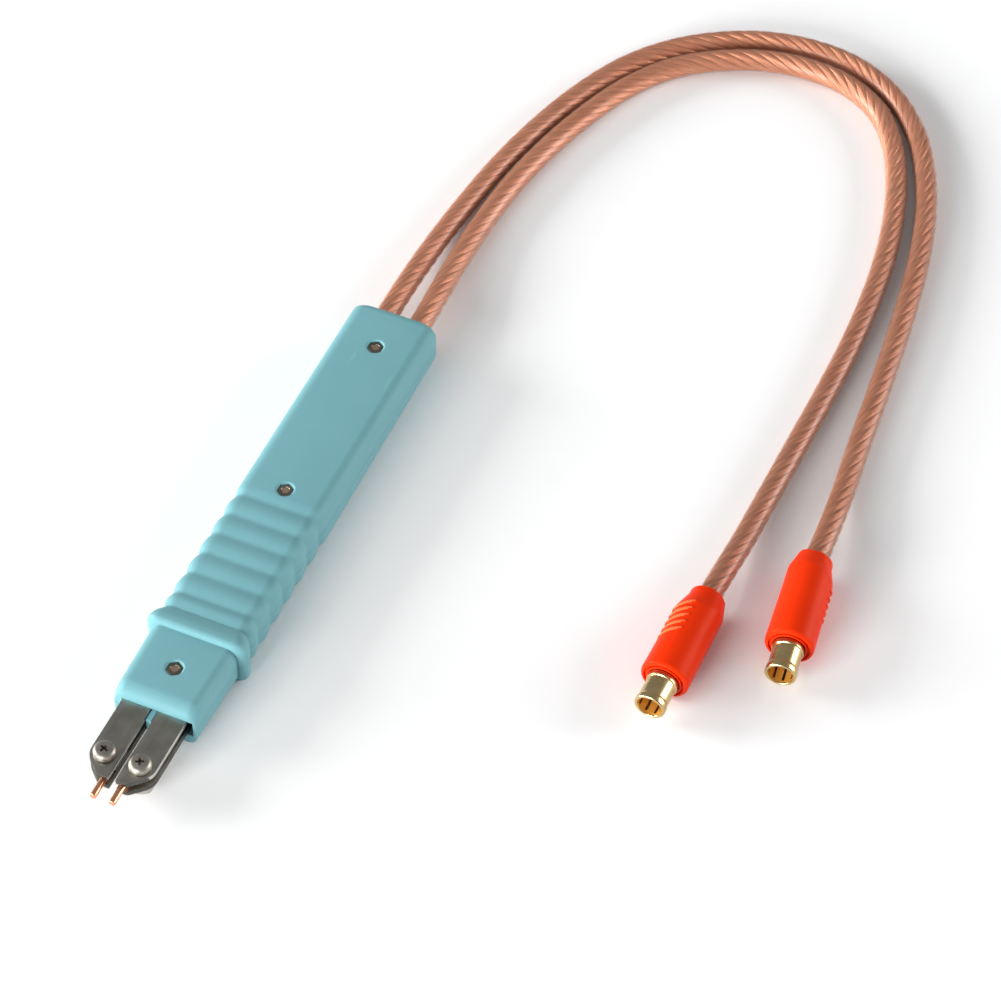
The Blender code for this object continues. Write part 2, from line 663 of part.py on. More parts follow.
def make_jaws(name, side):
    outline = rounded(
        [
            (JAW_REAR_X, side * JAW_INNER_Y, 0),
            (JAW_FRONT_X, side * JAW_INNER_Y, JAW_SHARP_CORNER),
            (JAW_FRONT_X, side * (JAW_INNER_Y + JAW_FRONT_WIDTH), JAW_CORNER),
            (JAW_FRONT_X - JAW_CHAMFER_LENGTH, side * JAW_OUTER_Y, JAW_SIDE_CORNER),
            (JAW_REAR_X, side * JAW_OUTER_Y, JAW_SHARP_CORNER),
        ]
    )
    holes = [
        (CLAMP_X, side * CLAMP_Y, CLAMP_RADIUS + BORE_FIT),
        (RIVET_X, side * RIVET_Y, RIVET_DIAMETER / 2 + BORE_FIT),
        (MOUTH_X - FRONT_SCREW_TO_MOUTH, 0, COLUMN_RADIUS + SEAT_GAP),
    ]
    for level, low in (("upper", JAW_TOP - JAW_THICKNESS), ("lower", JAW_BOTTOM)):
        jaw = plate(f"{level}_jaw_{name}", outline, low, low + JAW_THICKNESS)
        drill(jaw, holes, low - JAW_THICKNESS, low + 2 * JAW_THICKNESS)
        dress(jaw, NICKEL_PLATE)


def make_clamp(name, side):
    x, y = CLAMP_X, side * CLAMP_Y
    add_screw(
        f"clamp_screw_{name}",
        CLAMP_RADIUS,
        CLAMP_LENGTH,
        (CLAMP_HEAD / 2, CLAMP_HEAD_HEIGHT, CLAMP_HEAD_ROUNDING),
        (CLAMP_CROSS_LENGTH, CLAMP_CROSS_WIDTH, CLAMP_CROSS_DEPTH),
        (x, y, JAW_TOP + SEAT_GAP),
    )
    middle = JAW_BOTTOM - SEAT_GAP - CLAMP_NUT_HEIGHT / 2
    bore = CLAMP_RADIUS + BORE_FIT
    add_hexagon_nut(f"clamp_nut_{name}", CLAMP_NUT_FLATS, CLAMP_NUT_HEIGHT, bore, (x, y, middle))


def make_electrode(name, side):
    """A plate that turns on the clamp screw between the jaws, with the welding pin along its inner edge."""
    pivot = carrier(f"electrode_pivot_{name}", (CLAMP_X, side * CLAMP_Y, MID_Z))
    inner = JAW_INNER_Y + PLATE_FROM_EDGE - CLAMP_Y
    pin_y = PIN_FROM_CENTRE - CLAMP_Y
    notch_y = pin_y + PIN_DIAMETER / 2 + BORE_FIT
    pin_rear = CLAMP_TO_FRONT - PIN_IN
    front = CLAMP_TO_FRONT - PLATE_SETBACK
    hole = CLAMP_RADIUS + BORE_FIT
    outer = hole + PLATE_HOLE_WALL
    outline = rounded(
        [
            (-PLATE_BEHIND, side * inner, PLATE_CORNER),
            (pin_rear - SEAT_GAP, side * inner, 0),
            (pin_rear - SEAT_GAP, side * notch_y, 0),
            (front, side * notch_y, 0),
            (front, side * (notch_y + PLATE_FRONT_WIDTH), PLATE_CORNER),
            (0, side * outer, PLATE_CORNER),
            (-PLATE_BEHIND, side * outer, PLATE_CORNER),
        ],
        2,
    )
    made = plate(f"electrode_plate_{name}", outline, -FLAT_THICKNESS / 2, FLAT_THICKNESS / 2)
    drill(made, [(0, 0, hole)], -FLAT_THICKNESS, FLAT_THICKNESS)
    dress(made, YELLOW_ZINC, pivot)

    radius = PIN_DIAMETER / 2
    length = PIN_IN + PIN_OUT
    bm = bmesh.new()
    add_turned(
        bm,
        [(0, 0), (radius, 0), (radius, length - PIN_CHAMFER), (radius - PIN_CHAMFER, length), (0, length)],
        SMALL_SIDES,
    )
    lay_along_x(bm)
    bmesh.ops.translate(bm, verts=bm.verts, vec=(pin_rear, side * pin_y, 0))
    dress(to_object(bm, f"electrode_pin_{name}"), COPPER, pivot)


def make_rivet(name, side):
    half = JAW_TOP + SEAT_GAP - MID_Z
    shank, head = RIVET_DIAMETER / 2, RIVET_HEAD / 2
    end = half + RIVET_HEAD_HEIGHT
    edge = half + RIVET_HEAD_HEIGHT / 2
    side_outline = [(shank, half), (head, half), (head, edge), (shank, end), (0, end)]
    outline = [(radius, -height) for radius, height in reversed(side_outline)] + side_outline
    bm = bmesh.new()
    add_turned(bm, outline, SMALL_SIDES)
    rivet = dress(to_object(bm, f"jaw_rivet_{name}"), COPPER)
    rivet.location = (RIVET_X, side * RIVET_Y, MID_Z)


def make_lug(name, side):
    """A crimped barrel that flattens into the tongue between the jaws."""
    y = side * CABLE_Y
    round_end = (BARREL_RADIUS, MID_Z - BARREL_RADIUS, MID_Z + BARREL_RADIUS, BARREL_RADIUS)
    half = FLAT_THICKNESS / 2
    flat_end = (TONGUE_WIDTH / 2, MID_Z - half, MID_Z + half, half / 2)
    stations = (
        (LUG_X, round_end),
        (NECK_X, round_end),
        (NECK_X + LUG_NECK, flat_end),
        (JAW_REAR_X + TONGUE_IN_JAWS, flat_end),
    )
    lug = to_object(loft([section(x, *shape, y) for x, shape in stations]), f"cable_lug_{name}")
    bm = bmesh.new()
    bore_end = NECK_X - BARREL_END
    add_cylinder(bm, CORE_RADIUS + BORE_FIT, (LUG_X - BARE_CORE, y, MID_Z), (bore_end, y, MID_Z))
    combine(lug, to_object(bm, "barrel_bore"), "DIFFERENCE")
    drill(lug, [(RIVET_X, side * RIVET_Y, RIVET_DIAMETER / 2 + BORE_FIT)], 0, BODY_HEIGHT)
    dress(lug, COPPER)

    bm = bmesh.new()
    core_start = (JACKET_END_X + SEAT_GAP, y, MID_Z)
    add_cylinder(bm, CORE_RADIUS, core_start, (bore_end - SEAT_GAP, y, MID_Z), SMALL_SIDES)
    dress(to_object(bm, f"cable_core_{name}"), COPPER)


def smooth_path(points, spacing):
    """Points at even steps along one smooth curve through the given points."""
    points = [Vector(point) for point in points]
    along = [0.0]
    for a, b in zip(points, points[1:]):
        along.append(along[-1] + (b - a).length)
    last = len(points) - 1
    slopes = []
    for i in range(len(points)):
        a, b = max(i - 1, 0), min(i + 1, last)
        slopes.append((points[b] - points[a]) / (along[b] - along[a]))
    count = max(2, math.ceil(along[-1] / spacing))
    made, i = [], 0
    for step in range(count + 1):
        at = along[-1] * step / count
        while i < last - 1 and at > along[i + 1]:
            i += 1
        span = along[i + 1] - along[i]
        t = (at - along[i]) / span
        made.append(
            points[i] * (2 * t**3 - 3 * t**2 + 1)
            + slopes[i] * span * (t**3 - 2 * t**2 + t)
            + points[i + 1] * (3 * t**2 - 2 * t**3)
            + slopes[i + 1] * span * (t**3 - t**2)
        )
    return made


def make_tube(name, path):
    """A cable along a path, with closed ends."""
    curve = bpy.data.curves.new(name, "CURVE")
    curve.dimensions = "3D"
    curve.bevel_depth = CABLE_DIAMETER / 2
    curve.bevel_resolution = CABLE_SIDES_RESOLUTION
    curve.use_fill_caps = True
    spline = curve.splines.new("POLY")
    spline.points.add(len(path) - 1)
    for point, place in zip(spline.points, path):
        point.co = (*place, 1)
    curve.materials.append(CLEAR_JACKET)
    made = bpy.data.objects.new(name, curve)
    bpy.context.collection.objects.link(made)


def make_cable(name, side, route, plug, turn):
    """The stretch inside the housing, and the free stretch from the rear face into the plug's boot."""
    exit_y = side * EXIT_SPACING / 2
    inside_y = side * CABLE_Y
    start_x = REAR_X + CABLE_SUNK
    tail_x = start_x + SEAT_GAP
    bend = REAR_SCREW_TO_REAR - BOSS_RADIUS - CABLE_SUNK - SEAT_GAP
    tail = []
    for share in (0, 0.25, 0.5, 0.75, 1):
        tail.append((tail_x + bend * share, blend(exit_y, inside_y, share), MID_Z))
    tail.append((JACKET_END_X, inside_y, MID_Z))
    make_tube(f"cable_tail_{name}", tail)

    lying = CABLE_DIAMETER / 2
    heading = Vector((math.cos(math.radians(turn)), math.sin(math.radians(turn)), 0))
    boot_rear = Vector((REAR_X + plug[0], plug[1], BOOT_RADIUS))
    path = [(start_x, exit_y, MID_Z), (REAR_X - CABLE_DIAMETER / 2, exit_y, MID_Z)]
    path += [(REAR_X + x, y, lying + lift) for x, y, lift in route]
    path.append(boot_rear)
    make_tube(f"cable_{name}", smooth_path(path, CABLE_STEP) + [boot_rear + heading * CABLE_IN_BOOT])


def make_plug(name, place, turn):
    """A moulded boot round a turned socket, made along the plug from the boot's rear."""
    plug = carrier(f"plug_{name}", (REAR_X + place[0], place[1], BOOT_RADIUS), turn)
    neck = BOOT_CABLE_BORE + NECK_WALL
    step = CABLE_IN_BOOT + SEAT_GAP
    groove_in = BOOT_BORE + GROOVE_LIP
    groove_out = groove_in + GROOVE_WIDTH
    outline = [
        (BOOT_CABLE_BORE, 0),
        (neck - NECK_BEVEL, 0),
        (neck, NECK_BEVEL),
        (neck, NECK_LENGTH),
        (BOOT_RADIUS - BOOT_TAPER, NECK_LENGTH + SHOULDER_LENGTH),
        (BOOT_RADIUS, BOOT_LENGTH - 2 * BOOT_RIM),
    ]
    for swing in quarter(3):
        rim = BOOT_RADIUS - BOOT_RIM / 2 * (1 - math.cos(swing))
        outline.append((rim, BOOT_LENGTH - BOOT_RIM * (1 - math.sin(swing))))
    outline += [
        (groove_out, BOOT_LENGTH),
        (groove_out, BOOT_LENGTH - GROOVE_DEPTH),
        (groove_in, BOOT_LENGTH - GROOVE_DEPTH),
        (groove_in, BOOT_LENGTH),
        (BOOT_BORE, BOOT_LENGTH),
        (BOOT_BORE, step),
        (BOOT_CABLE_BORE, step),
    ]
    bm = bmesh.new()
    add_turned(bm, outline, ring=True)
    lay_along_x(bm)
    dress(to_object(bm, f"plug_boot_{name}"), RED_PLASTIC, plug)

    bore = SOCKET_BORE / 2
    cup = CORE_RADIUS + BORE_FIT
    web = SOCKET_REAR + CUP_DEPTH
    outline = [
        (0, web),
        (cup, web),
        (cup, SOCKET_REAR),
        (SOCKET_RADIUS, SOCKET_REAR),
        (SOCKET_RADIUS, SOCKET_MOUTH - SOCKET_BEVEL),
        (SOCKET_RADIUS - SOCKET_BEVEL, SOCKET_MOUTH),
        (bore, SOCKET_MOUTH),
        (bore, web + SOCKET_WEB),
        (0, web + SOCKET_WEB),
    ]
    bm = bmesh.new()
    add_turned(bm, outline)
    lay_along_x(bm)
    dress(to_object(bm, f"plug_socket_{name}"), GOLD_PLATE, plug)

    bm = bmesh.new()
    add_cylinder(bm, CORE_RADIUS, (CABLE_IN_BOOT + SEAT_GAP, 0, 0), (web - SEAT_GAP, 0, 0), SMALL_SIDES)
    dress(to_object(bm, f"plug_core_{name}"), COPPER, plug)


make_shells()
make_housing_fasteners()
for label, hand in SIDES:
    make_jaws(label, hand)
    make_clamp(label, hand)
    make_electrode(label, hand)
    make_rivet(label, hand)
    make_lug(label, hand)
make_cable("left", 1, ROUTE_LEFT, PLUG_LEFT, PLUG_LEFT_TURN)
make_cable("right", -1, ROUTE_RIGHT, PLUG_RIGHT, PLUG_RIGHT_TURN)
make_plug("left", PLUG_LEFT, PLUG_LEFT_TURN)
make_plug("right", PLUG_RIGHT, PLUG_RIGHT_TURN)
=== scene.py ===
import math

import bmesh
import bpy
from mathutils import Matrix, Vector


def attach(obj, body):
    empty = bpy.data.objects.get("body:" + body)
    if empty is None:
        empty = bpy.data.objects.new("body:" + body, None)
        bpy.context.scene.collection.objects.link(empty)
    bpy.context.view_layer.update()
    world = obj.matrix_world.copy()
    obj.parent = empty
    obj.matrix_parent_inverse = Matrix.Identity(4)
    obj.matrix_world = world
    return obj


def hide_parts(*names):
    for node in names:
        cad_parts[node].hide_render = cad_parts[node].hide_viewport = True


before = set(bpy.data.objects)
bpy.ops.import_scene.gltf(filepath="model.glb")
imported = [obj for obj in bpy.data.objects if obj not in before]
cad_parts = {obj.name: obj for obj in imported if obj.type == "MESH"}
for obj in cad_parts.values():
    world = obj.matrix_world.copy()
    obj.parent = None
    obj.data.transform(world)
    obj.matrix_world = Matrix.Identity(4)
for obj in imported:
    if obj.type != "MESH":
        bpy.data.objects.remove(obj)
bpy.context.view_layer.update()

# Sizes are in millimetres in the CAD's own frame. settle() brings a piece to metres.
toMetres = 0.001
pen = {"rear": -84.125, "mouth": 56.875, "half": 12.3, "height": 14.0}
midZ = pen["height"] / 2
sides = (("left", "Left", 1), ("right", "Right", -1))

camera = {
    "place": (0.456425, 0.2696, 0.6634),
    "forward": (-0.58276, -0.25825, -0.77051),
    "lens": 118.68,
    "sensor": 36,
}
eye = bpy.data.objects.new("photoCamera", bpy.data.cameras.new("photoCamera"))
eye.data.sensor_width = camera["sensor"]
eye.data.lens = camera["lens"]
eye.location = camera["place"]
eye.rotation_euler = Vector(camera["forward"]).to_track_quat("-Z", "Y").to_euler()
bpy.context.collection.objects.link(eye)
bpy.context.scene.camera = eye
print("camera set")


class Flow:  # a shader socket that works in sums
    def __init__(self, tree, socket=None):
        self.tree = tree
        self.socket = socket

    def node(self, kind, settings=(), sockets=(), out=0):
        made = self.tree.nodes.new(kind)
        for name, value in dict(settings).items():
            setattr(made, name, value)
        for name, value in dict(sockets).items():
            self.feed(made.inputs[name], value)
        return Flow(self.tree, made.outputs[out])

    def feed(self, entry, value):
        if isinstance(value, Flow):
            self.tree.links.new(value.socket, entry)
        else:
            entry.default_value = value

    def sum(self, operation, first, second):
        return self.node("ShaderNodeMath", {"operation": operation}, {0: first, 1: second})

    def __add__(self, other):
        return self.sum("ADD", self, other)

    def __radd__(self, other):
        return self.sum("ADD", other, self)

    def __sub__(self, other):
        return self.sum("SUBTRACT", self, other)

    def __rsub__(self, other):
        return self.sum("SUBTRACT", other, self)

    def __mul__(self, other):
        return self.sum("MULTIPLY", self, other)

    def __rmul__(self, other):
        return self.sum("MULTIPLY", other, self)


def newFinish(name):
    finish = bpy.data.materials.new(name)
    finish.use_nodes = True
    shader = finish.node_tree.nodes["Principled BSDF"]
    return finish, shader, Flow(finish.node_tree)


def noiseOn(flow, place, scale, detail=3, stretch=None):
    if stretch:
        place = flow.node("ShaderNodeMapping", {}, {"Vector": place, "Scale": stretch})
    return flow.node("ShaderNodeTexNoise", {}, {"Vector": place, "Scale": scale, "Detail": detail})


def mixed(flow, share, first, second):
    return flow.node("ShaderNodeMix", {"data_type": "RGBA"}, {0: share, 6: first, 7: second}, 2)


def steps(flow, value, low, high):  # 0 up to low, 1 from high on
    return flow.node("ShaderNodeMapRange", {}, {"Value": value, "From Min": low, "From Max": high})


def bumped(flow, height, depth, strength):
    return flow.node("ShaderNodeBump", {}, {"Height": height, "Distance": depth, "Strength": strength})


tealLook = {
    "name": "tealMoulding",
    "gloss": 0.22,
    "glint": (0.62, 0.94, 1, 1),
    "pale": (0.175, 0.375, 0.410, 1),
    "deep": (0.145, 0.330, 0.365, 1),
    "scuff": (0.36, 0.56, 0.58, 1),
    "rough": 0.55,
    "grain": 1500,
}
redLook = {
    "name": "redMoulding",
    "gloss": 0.12,
    "glint": (1, 0.34, 0.16, 1),
    "pale": (0.76, 0.036, 0.004, 1),
    "deep": (0.66, 0.022, 0.002, 1),
    "scuff": (0.90, 0.22, 0.12, 1),
    "rough": 0.42,
    "grain": 1900,
}
ribHighlightLook = {  # painted highlight: a lighter red on the crests of the ribs
    "name": "ribHighlightRed",
    "gloss": 0.12,
    "glint": (1, 0.5, 0.3, 1),
    "pale": (0.95, 0.17, 0.06, 1),
    "deep": (0.86, 0.10, 0.03, 1),
    "scuff": (0.95, 0.34, 0.2, 1),
    "rough": 0.46,
    "grain": 1900,
}
moulding = {  # shared by the moulded plastics
    "grainDetail": 4, "grainShare": 0.25, "grainRough": 0.12,
    "cloudScale": 70, "cloudShare": 0.75, "cloudRelief": 0.5,
    "scuffScale": 260, "scuffDetail": 2, "scuffStretch": (0.25, 1.6, 1.6), "scuffSpan": (0.66, 0.76),
    "wornScale": 40, "wornSpan": (0.50, 0.62), "wornShare": 0.15, "wornRough": 0.12,
    "depth": 0.00003, "strength": 0.35,
}


def mouldedPlastic(own):  # fine spark-eroded grain, slight flow marks and a few handling scuffs
    look = {**moulding, **own}
    finish, shader, flow = newFinish(look["name"])
    place = flow.node("ShaderNodeTexCoord", out="Object")
    grain = noiseOn(flow, place, look["grain"], look["grainDetail"])
    cloud = noiseOn(flow, place, look["cloudScale"])
    marks = noiseOn(flow, place, look["scuffScale"], look["scuffDetail"], look["scuffStretch"])
    scuff = steps(flow, marks, *look["scuffSpan"])
    worn = scuff * steps(flow, noiseOn(flow, place, look["wornScale"]), *look["wornSpan"])
    tone = cloud * look["cloudShare"] + grain * look["grainShare"]
    colour = mixed(flow, tone, look["deep"], look["pale"])
    flow.feed(shader.inputs["Base Color"], mixed(flow, worn * look["wornShare"], colour, look["scuff"]))
    rough = look["rough"] - look["grainRough"] / 2 + grain * look["grainRough"] + worn * look["wornRough"]
    flow.feed(shader.inputs["Roughness"], rough)
    relief = grain + cloud * look["cloudRelief"]
    flow.feed(shader.inputs["Normal"], bumped(flow, relief, look["depth"], look["strength"]))
    shader.inputs["Specular IOR Level"].default_value = look["gloss"]
    shader.inputs["Specular Tint"].default_value = look["glint"]
    return finish


brushing = {  # shared by the metals
    "scratch": 2200, "stretch": (1, 1, 1), "detail": 4, "brushShare": 0.3, "brushRough": 0.16,
    "stainScale": 190, "stainSpan": (0.36, 0.66), "stainShare": 0.7,
    "speckScale": 1300, "speckDetail": 2, "speckSpan": (0.62, 0.74), "speckRough": 0.08, "speckPit": 0.3,
    "depth": 0.000012, "strength": 0.30, "metal": 1,
}
metalLooks = {
    "nickel": {
        "pale": (0.47, 0.45, 0.40, 1), "deep": (0.31, 0.295, 0.255, 1), "rough": 0.30,
        "stretch": (0.06, 1.6, 1.6),
    },
    "steel": {"pale": (0.60, 0.57, 0.52, 1), "deep": (0.40, 0.38, 0.34, 1), "rough": 0.25},
    "head": {"pale": (0.50, 0.455, 0.40, 1), "deep": (0.27, 0.245, 0.215, 1), "rough": 0.46},
    # lighter metal for the upper jaws' rims, a painted reflection
    "edge": {
        "pale": (0.74, 0.71, 0.66, 1), "deep": (0.56, 0.53, 0.48, 1), "rough": 0.34,
        "stretch": (0.06, 1.6, 1.6),
    },
    # dark metal used as painted shade on rims
    "shade": {"pale": (0.13, 0.125, 0.115, 1), "deep": (0.06, 0.058, 0.052, 1), "rough": 0.45},
    "warm": {"pale": (0.66, 0.47, 0.37, 1), "deep": (0.48, 0.32, 0.24, 1), "rough": 0.38},
    # the bore's gold made brighter and less metallic: its own colour with painted light where little light
    # reaches
    "amber": {
        "pale": (0.95, 0.52, 0.10, 1), "deep": (0.74, 0.36, 0.05, 1), "rough": 0.45, "metal": 0.4,
    },
    # dark metal for the housing nuts, and painted shade in the socket flutes
    "dark": {"pale": (0.27, 0.26, 0.21, 1), "deep": (0.13, 0.13, 0.10, 1), "rough": 0.40},
    "zinc": {
        "pale": (0.66, 0.60, 0.34, 1), "deep": (0.50, 0.46, 0.27, 1), "rough": 0.32,
        "stretch": (0.08, 1.5, 1.5),
    },
    "copper": {
        "pale": (0.94, 0.49, 0.31, 1), "deep": (0.78, 0.35, 0.20, 1), "rough": 0.24,
        "stretch": (1.8, 0.2, 0.2), "scratch": 2600,
    },
    "gold": {
        "pale": (0.72, 0.55, 0.28, 1), "deep": (0.52, 0.38, 0.16, 1), "rough": 0.24,
        "stretch": (1.6, 0.15, 0.15), "scratch": 2600,
    },
}


def brushedMetal(name):  # plating with fine marks along one way
    look = {**brushing, **metalLooks[name]}
    finish, shader, flow = newFinish(name + "Metal")
    place = flow.node("ShaderNodeTexCoord", out="Object")
    brush = noiseOn(flow, place, look["scratch"], look["detail"], look["stretch"])
    stain = noiseOn(flow, place, look["stainScale"], look["detail"])
    speck = steps(flow, noiseOn(flow, place, look["speckScale"], look["speckDetail"]), *look["speckSpan"])
    tone = steps(flow, stain, *look["stainSpan"]) * look["stainShare"] + brush * look["brushShare"]
    flow.feed(shader.inputs["Base Color"], mixed(flow, tone, look["deep"], look["pale"]))
    rough = look["rough"] - look["brushRough"] / 2 + brush * look["brushRough"] + speck * look["speckRough"]
    flow.feed(shader.inputs["Roughness"], rough)
    relief = brush - speck * look["speckPit"]
    flow.feed(shader.inputs["Normal"], bumped(flow, relief, look["depth"], look["strength"]))
    shader.inputs["Metallic"].default_value = look["metal"]
    return finish


strandLook = {
    "pale": (0.74, 0.295, 0.163, 1),
    "deep": (0.36, 0.115, 0.055, 1),
    "bundles": 7,
    "wires": 12,  # across one bundle
    "wireShare": 0.20,
    "driftScale": 60, "driftStretch": (5.0, 0.9, 1), "driftShare": 0.36, "driftRough": 0.12,
    "castScale": 9, "castStretch": (2.2, 0.5, 1), "castSpan": (0.36, 0.64), "castShare": 0.48,
    "lift": 0.04,
    "plugShade": 0.44,
    "plugShadeSpan": (5.6, 9.2),  # turns of the lay over which the copper is painted darker towards the plug, a painted shade
    "metal": 0.45, "rough": 0.30, "depth": 0.00006, "strength": 0.5,
}


def strandedCopper():  # fine wires in twisted bundles, from the UV map that follows them
    look = strandLook
    finish, shader, flow = newFinish("strandedCopper")
    follow = flow.node("ShaderNodeTexCoord", out="UV")
    around = flow.node("ShaderNodeSeparateXYZ", {}, {"Vector": follow}, "X")
    wires = around * (look["bundles"] * look["wires"] * 2 * math.pi)
    wire = flow.node("ShaderNodeMath", {"operation": "COSINE"}, {0: wires}) * 0.5 + 0.5
    drift = noiseOn(flow, follow, look["driftScale"], stretch=look["driftStretch"])
    patches = noiseOn(flow, follow, look["castScale"], stretch=look["castStretch"])
    cast = steps(flow, patches, *look["castSpan"])
    turn = flow.node("ShaderNodeSeparateXYZ", {}, {"Vector": follow}, "Y")
    # painted shade: the copper's colour gets darker towards the plug
    plugShade = steps(flow, turn, *look["plugShadeSpan"]) * look["plugShade"]
    # the colour follows the wires' relief, lighter on each wire and darker between them: a painted shade
    # between the wires
    tone = wire * look["wireShare"] + drift * look["driftShare"] + cast * look["castShare"]
    tone = tone + look["lift"] - plugShade
    flow.feed(shader.inputs["Base Color"], mixed(flow, tone, look["deep"], look["pale"]))
    flow.feed(shader.inputs["Roughness"], look["rough"] + drift * look["driftRough"])
    flow.feed(shader.inputs["Normal"], bumped(flow, wire, look["depth"], look["strength"]))
    shader.inputs["Metallic"].default_value = look["metal"]
    return finish


jacketLook = {
    "tint": (0.48, 0.29, 0.19, 1),
    "haze": (0.60, 0.42, 0.31, 1),
    "hazeScale": 130, "hazeRough": 0.05, "hazeAlpha": 0.10,
    "dustScale": 1600, "dustRough": 0.08,
    "clear": 0.10, "rim": 0.22, "rimBlend": 0.25,
    "rough": 0.18, "gloss": 0.5, "depth": 0.00008, "strength": 0.3,
    "coat": 1, "coatRough": 0.30,
    "coatIor": 2.1,  # high, because alpha thins the gloss as well
}


def clearJacket():  # soft clear plastic with a faint haze
    look = jacketLook
    finish, shader, flow = newFinish("clearJacket")
    place = flow.node("ShaderNodeTexCoord", out="Object")
    haze = noiseOn(flow, place, look["hazeScale"])
    dust = noiseOn(flow, place, look["dustScale"])
    flow.feed(shader.inputs["Base Color"], mixed(flow, haze, look["tint"], look["haze"]))
    rough = look["rough"] - look["dustRough"] / 2 + dust * look["dustRough"] + haze * look["hazeRough"]
    flow.feed(shader.inputs["Roughness"], rough)
    facing = flow.node("ShaderNodeLayerWeight", {}, {"Blend": look["rimBlend"]}, "Facing")
    alpha = look["clear"] - look["hazeAlpha"] / 2 + haze * look["hazeAlpha"] + facing * look["rim"]
    flow.feed(shader.inputs["Alpha"], alpha)
    flow.feed(shader.inputs["Normal"], bumped(flow, haze, look["depth"], look["strength"]))
    shader.inputs["Specular IOR Level"].default_value = look["gloss"]
    shader.inputs["Coat Weight"].default_value = look["coat"]
    shader.inputs["Coat IOR"].default_value = look["coatIor"]
    shader.inputs["Coat Roughness"].default_value = look["coatRough"]
    return finish


tealMoulding = mouldedPlastic(tealLook)
redMoulding = mouldedPlastic(redLook)
ribHighlightMoulding = mouldedPlastic(ribHighlightLook)
metals = {name: brushedMetal(name) for name in metalLooks}
strandCopper = strandedCopper()
jacketPlastic = clearJacket()
print("finishes:", len(bpy.data.materials))

weld = {"turned": 0.0005, "seam": 0.0001, "cut": 0.001}  # how near points count as one
zToX = Matrix.Rotation(math.pi / 2, 4, "Y")


def rawPiece(bm, name):
    mesh = bpy.data.meshes.new(name)
    bm.to_mesh(mesh)
    bm.free()
    piece = bpy.data.objects.new(name, mesh)
    bpy.context.collection.objects.link(piece)
    return piece


def twin(piece):
    made = piece.copy()
    made.data = piece.data.copy()
    bpy.context.collection.objects.link(made)
    return made


def combine(piece, tool, how="DIFFERENCE"):
    change = piece.modifiers.new("combine", "BOOLEAN")
    change.operation = how
    change.object = tool
    made = piece.evaluated_get(bpy.context.evaluated_depsgraph_get())
    mesh = bpy.data.meshes.new_from_object(made)
    piece.modifiers.clear()
    piece.data = mesh
    bpy.data.objects.remove(tool)


def settle(piece, body, slot, finish, *nodes, sharp=30):
    mesh = piece.data
    mesh.transform(Matrix.Scale(toMetres, 4))
    mesh.materials.clear()
    mesh.materials.append(finish)
    mesh.shade_smooth()
    mesh.set_sharp_from_angle(angle=math.radians(sharp))
    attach(piece, body)
    if nodes:
        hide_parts(*nodes)
    return piece


def tint(piece, finish, chosen):  # another finish on some of its faces
    piece.data.materials.append(finish)
    for face in piece.data.polygons:
        if chosen(face):
            face.material_index = len(piece.data.materials) - 1


def quarter(count):
    return [math.pi / 2 * step / count for step in range(count + 1)]


def softened(corners, count=5):  # each corner (x, y, radius) becomes an arc
    points = []
    for i, (x, y, radius) in enumerate(corners):
        here = Vector((x, y))
        if radius == 0:
            points.append(here)
            continue
        before = (Vector(corners[i - 1][:2]) - here).normalized()
        after = (Vector(corners[(i + 1) % len(corners)][:2]) - here).normalized()
        half = before.angle(after) / 2
        centre = here + (before + after).normalized() * radius / math.sin(half)
        start = here + before * radius / math.tan(half) - centre
        end = here + after * radius / math.tan(half) - centre
        swing = start.angle_signed(end)
        for step in range(count + 1):
            points.append(centre + Matrix.Rotation(-swing * step / count, 2) @ start)
    return points


def addBox(bm, low, high):
    size = Vector(high) - Vector(low)
    centre = (Vector(high) + Vector(low)) / 2
    place = Matrix.Translation(centre) @ Matrix.Diagonal((*size, 1))
    return bmesh.ops.create_cube(bm, size=1, matrix=place)


def addRod(bm, place, radius, depth, count=48):
    bmesh.ops.create_cone(
        bm, cap_ends=True, segments=count, radius1=radius, radius2=radius, depth=depth, matrix=place
    )


def addTurned(bm, outline, count=48, ring=False, place=(0, 0, 0)):  # radius and height, spun round z
    verts = [bm.verts.new((radius, 0, height)) for radius, height in outline]
    edges = [bm.edges.new(pair) for pair in zip(verts, verts[1:])]
    if ring:
        edges.append(bm.edges.new((verts[-1], verts[0])))
    old = set(bm.verts) - set(verts)
    bmesh.ops.spin(
        bm, geom=verts + edges, cent=(0, 0, 0), axis=(0, 0, 1),
        angle=2 * math.pi, steps=count, use_merge=True,
    )
    fresh = [vert for vert in bm.verts if vert not in old]
    bmesh.ops.translate(bm, verts=fresh, vec=place)
    bmesh.ops.remove_doubles(bm, verts=fresh, dist=weld["turned"])
    bmesh.ops.recalc_face_normals(bm, faces=bm.faces)


def drawRings(rings, turns=1):  # a grid rolled into a closed skin, with u round it and v along it
    bm = bmesh.new()
    layer = bm.loops.layers.uv.new("follow")
    around, last = len(rings[0]), len(rings) - 1
    bmesh.ops.create_grid(bm, x_segments=around, y_segments=last, size=0.5, calc_uvs=True)
    for face in bm.faces:
        for corner in face.loops:
            corner[layer].uv.y *= turns
    seam = []
    for vert in bm.verts:
        column, row = round((vert.co.x + 0.5) * around), round((vert.co.y + 0.5) * last)
        vert.co = rings[row][column % around]
        if column % around == 0:
            seam.append(vert)
    bmesh.ops.remove_doubles(bm, verts=seam, dist=weld["seam"])
    bmesh.ops.holes_fill(bm, edges=[edge for edge in bm.edges if edge.is_boundary], sides=0)
    bmesh.ops.recalc_face_normals(bm, faces=bm.faces)
    return bm


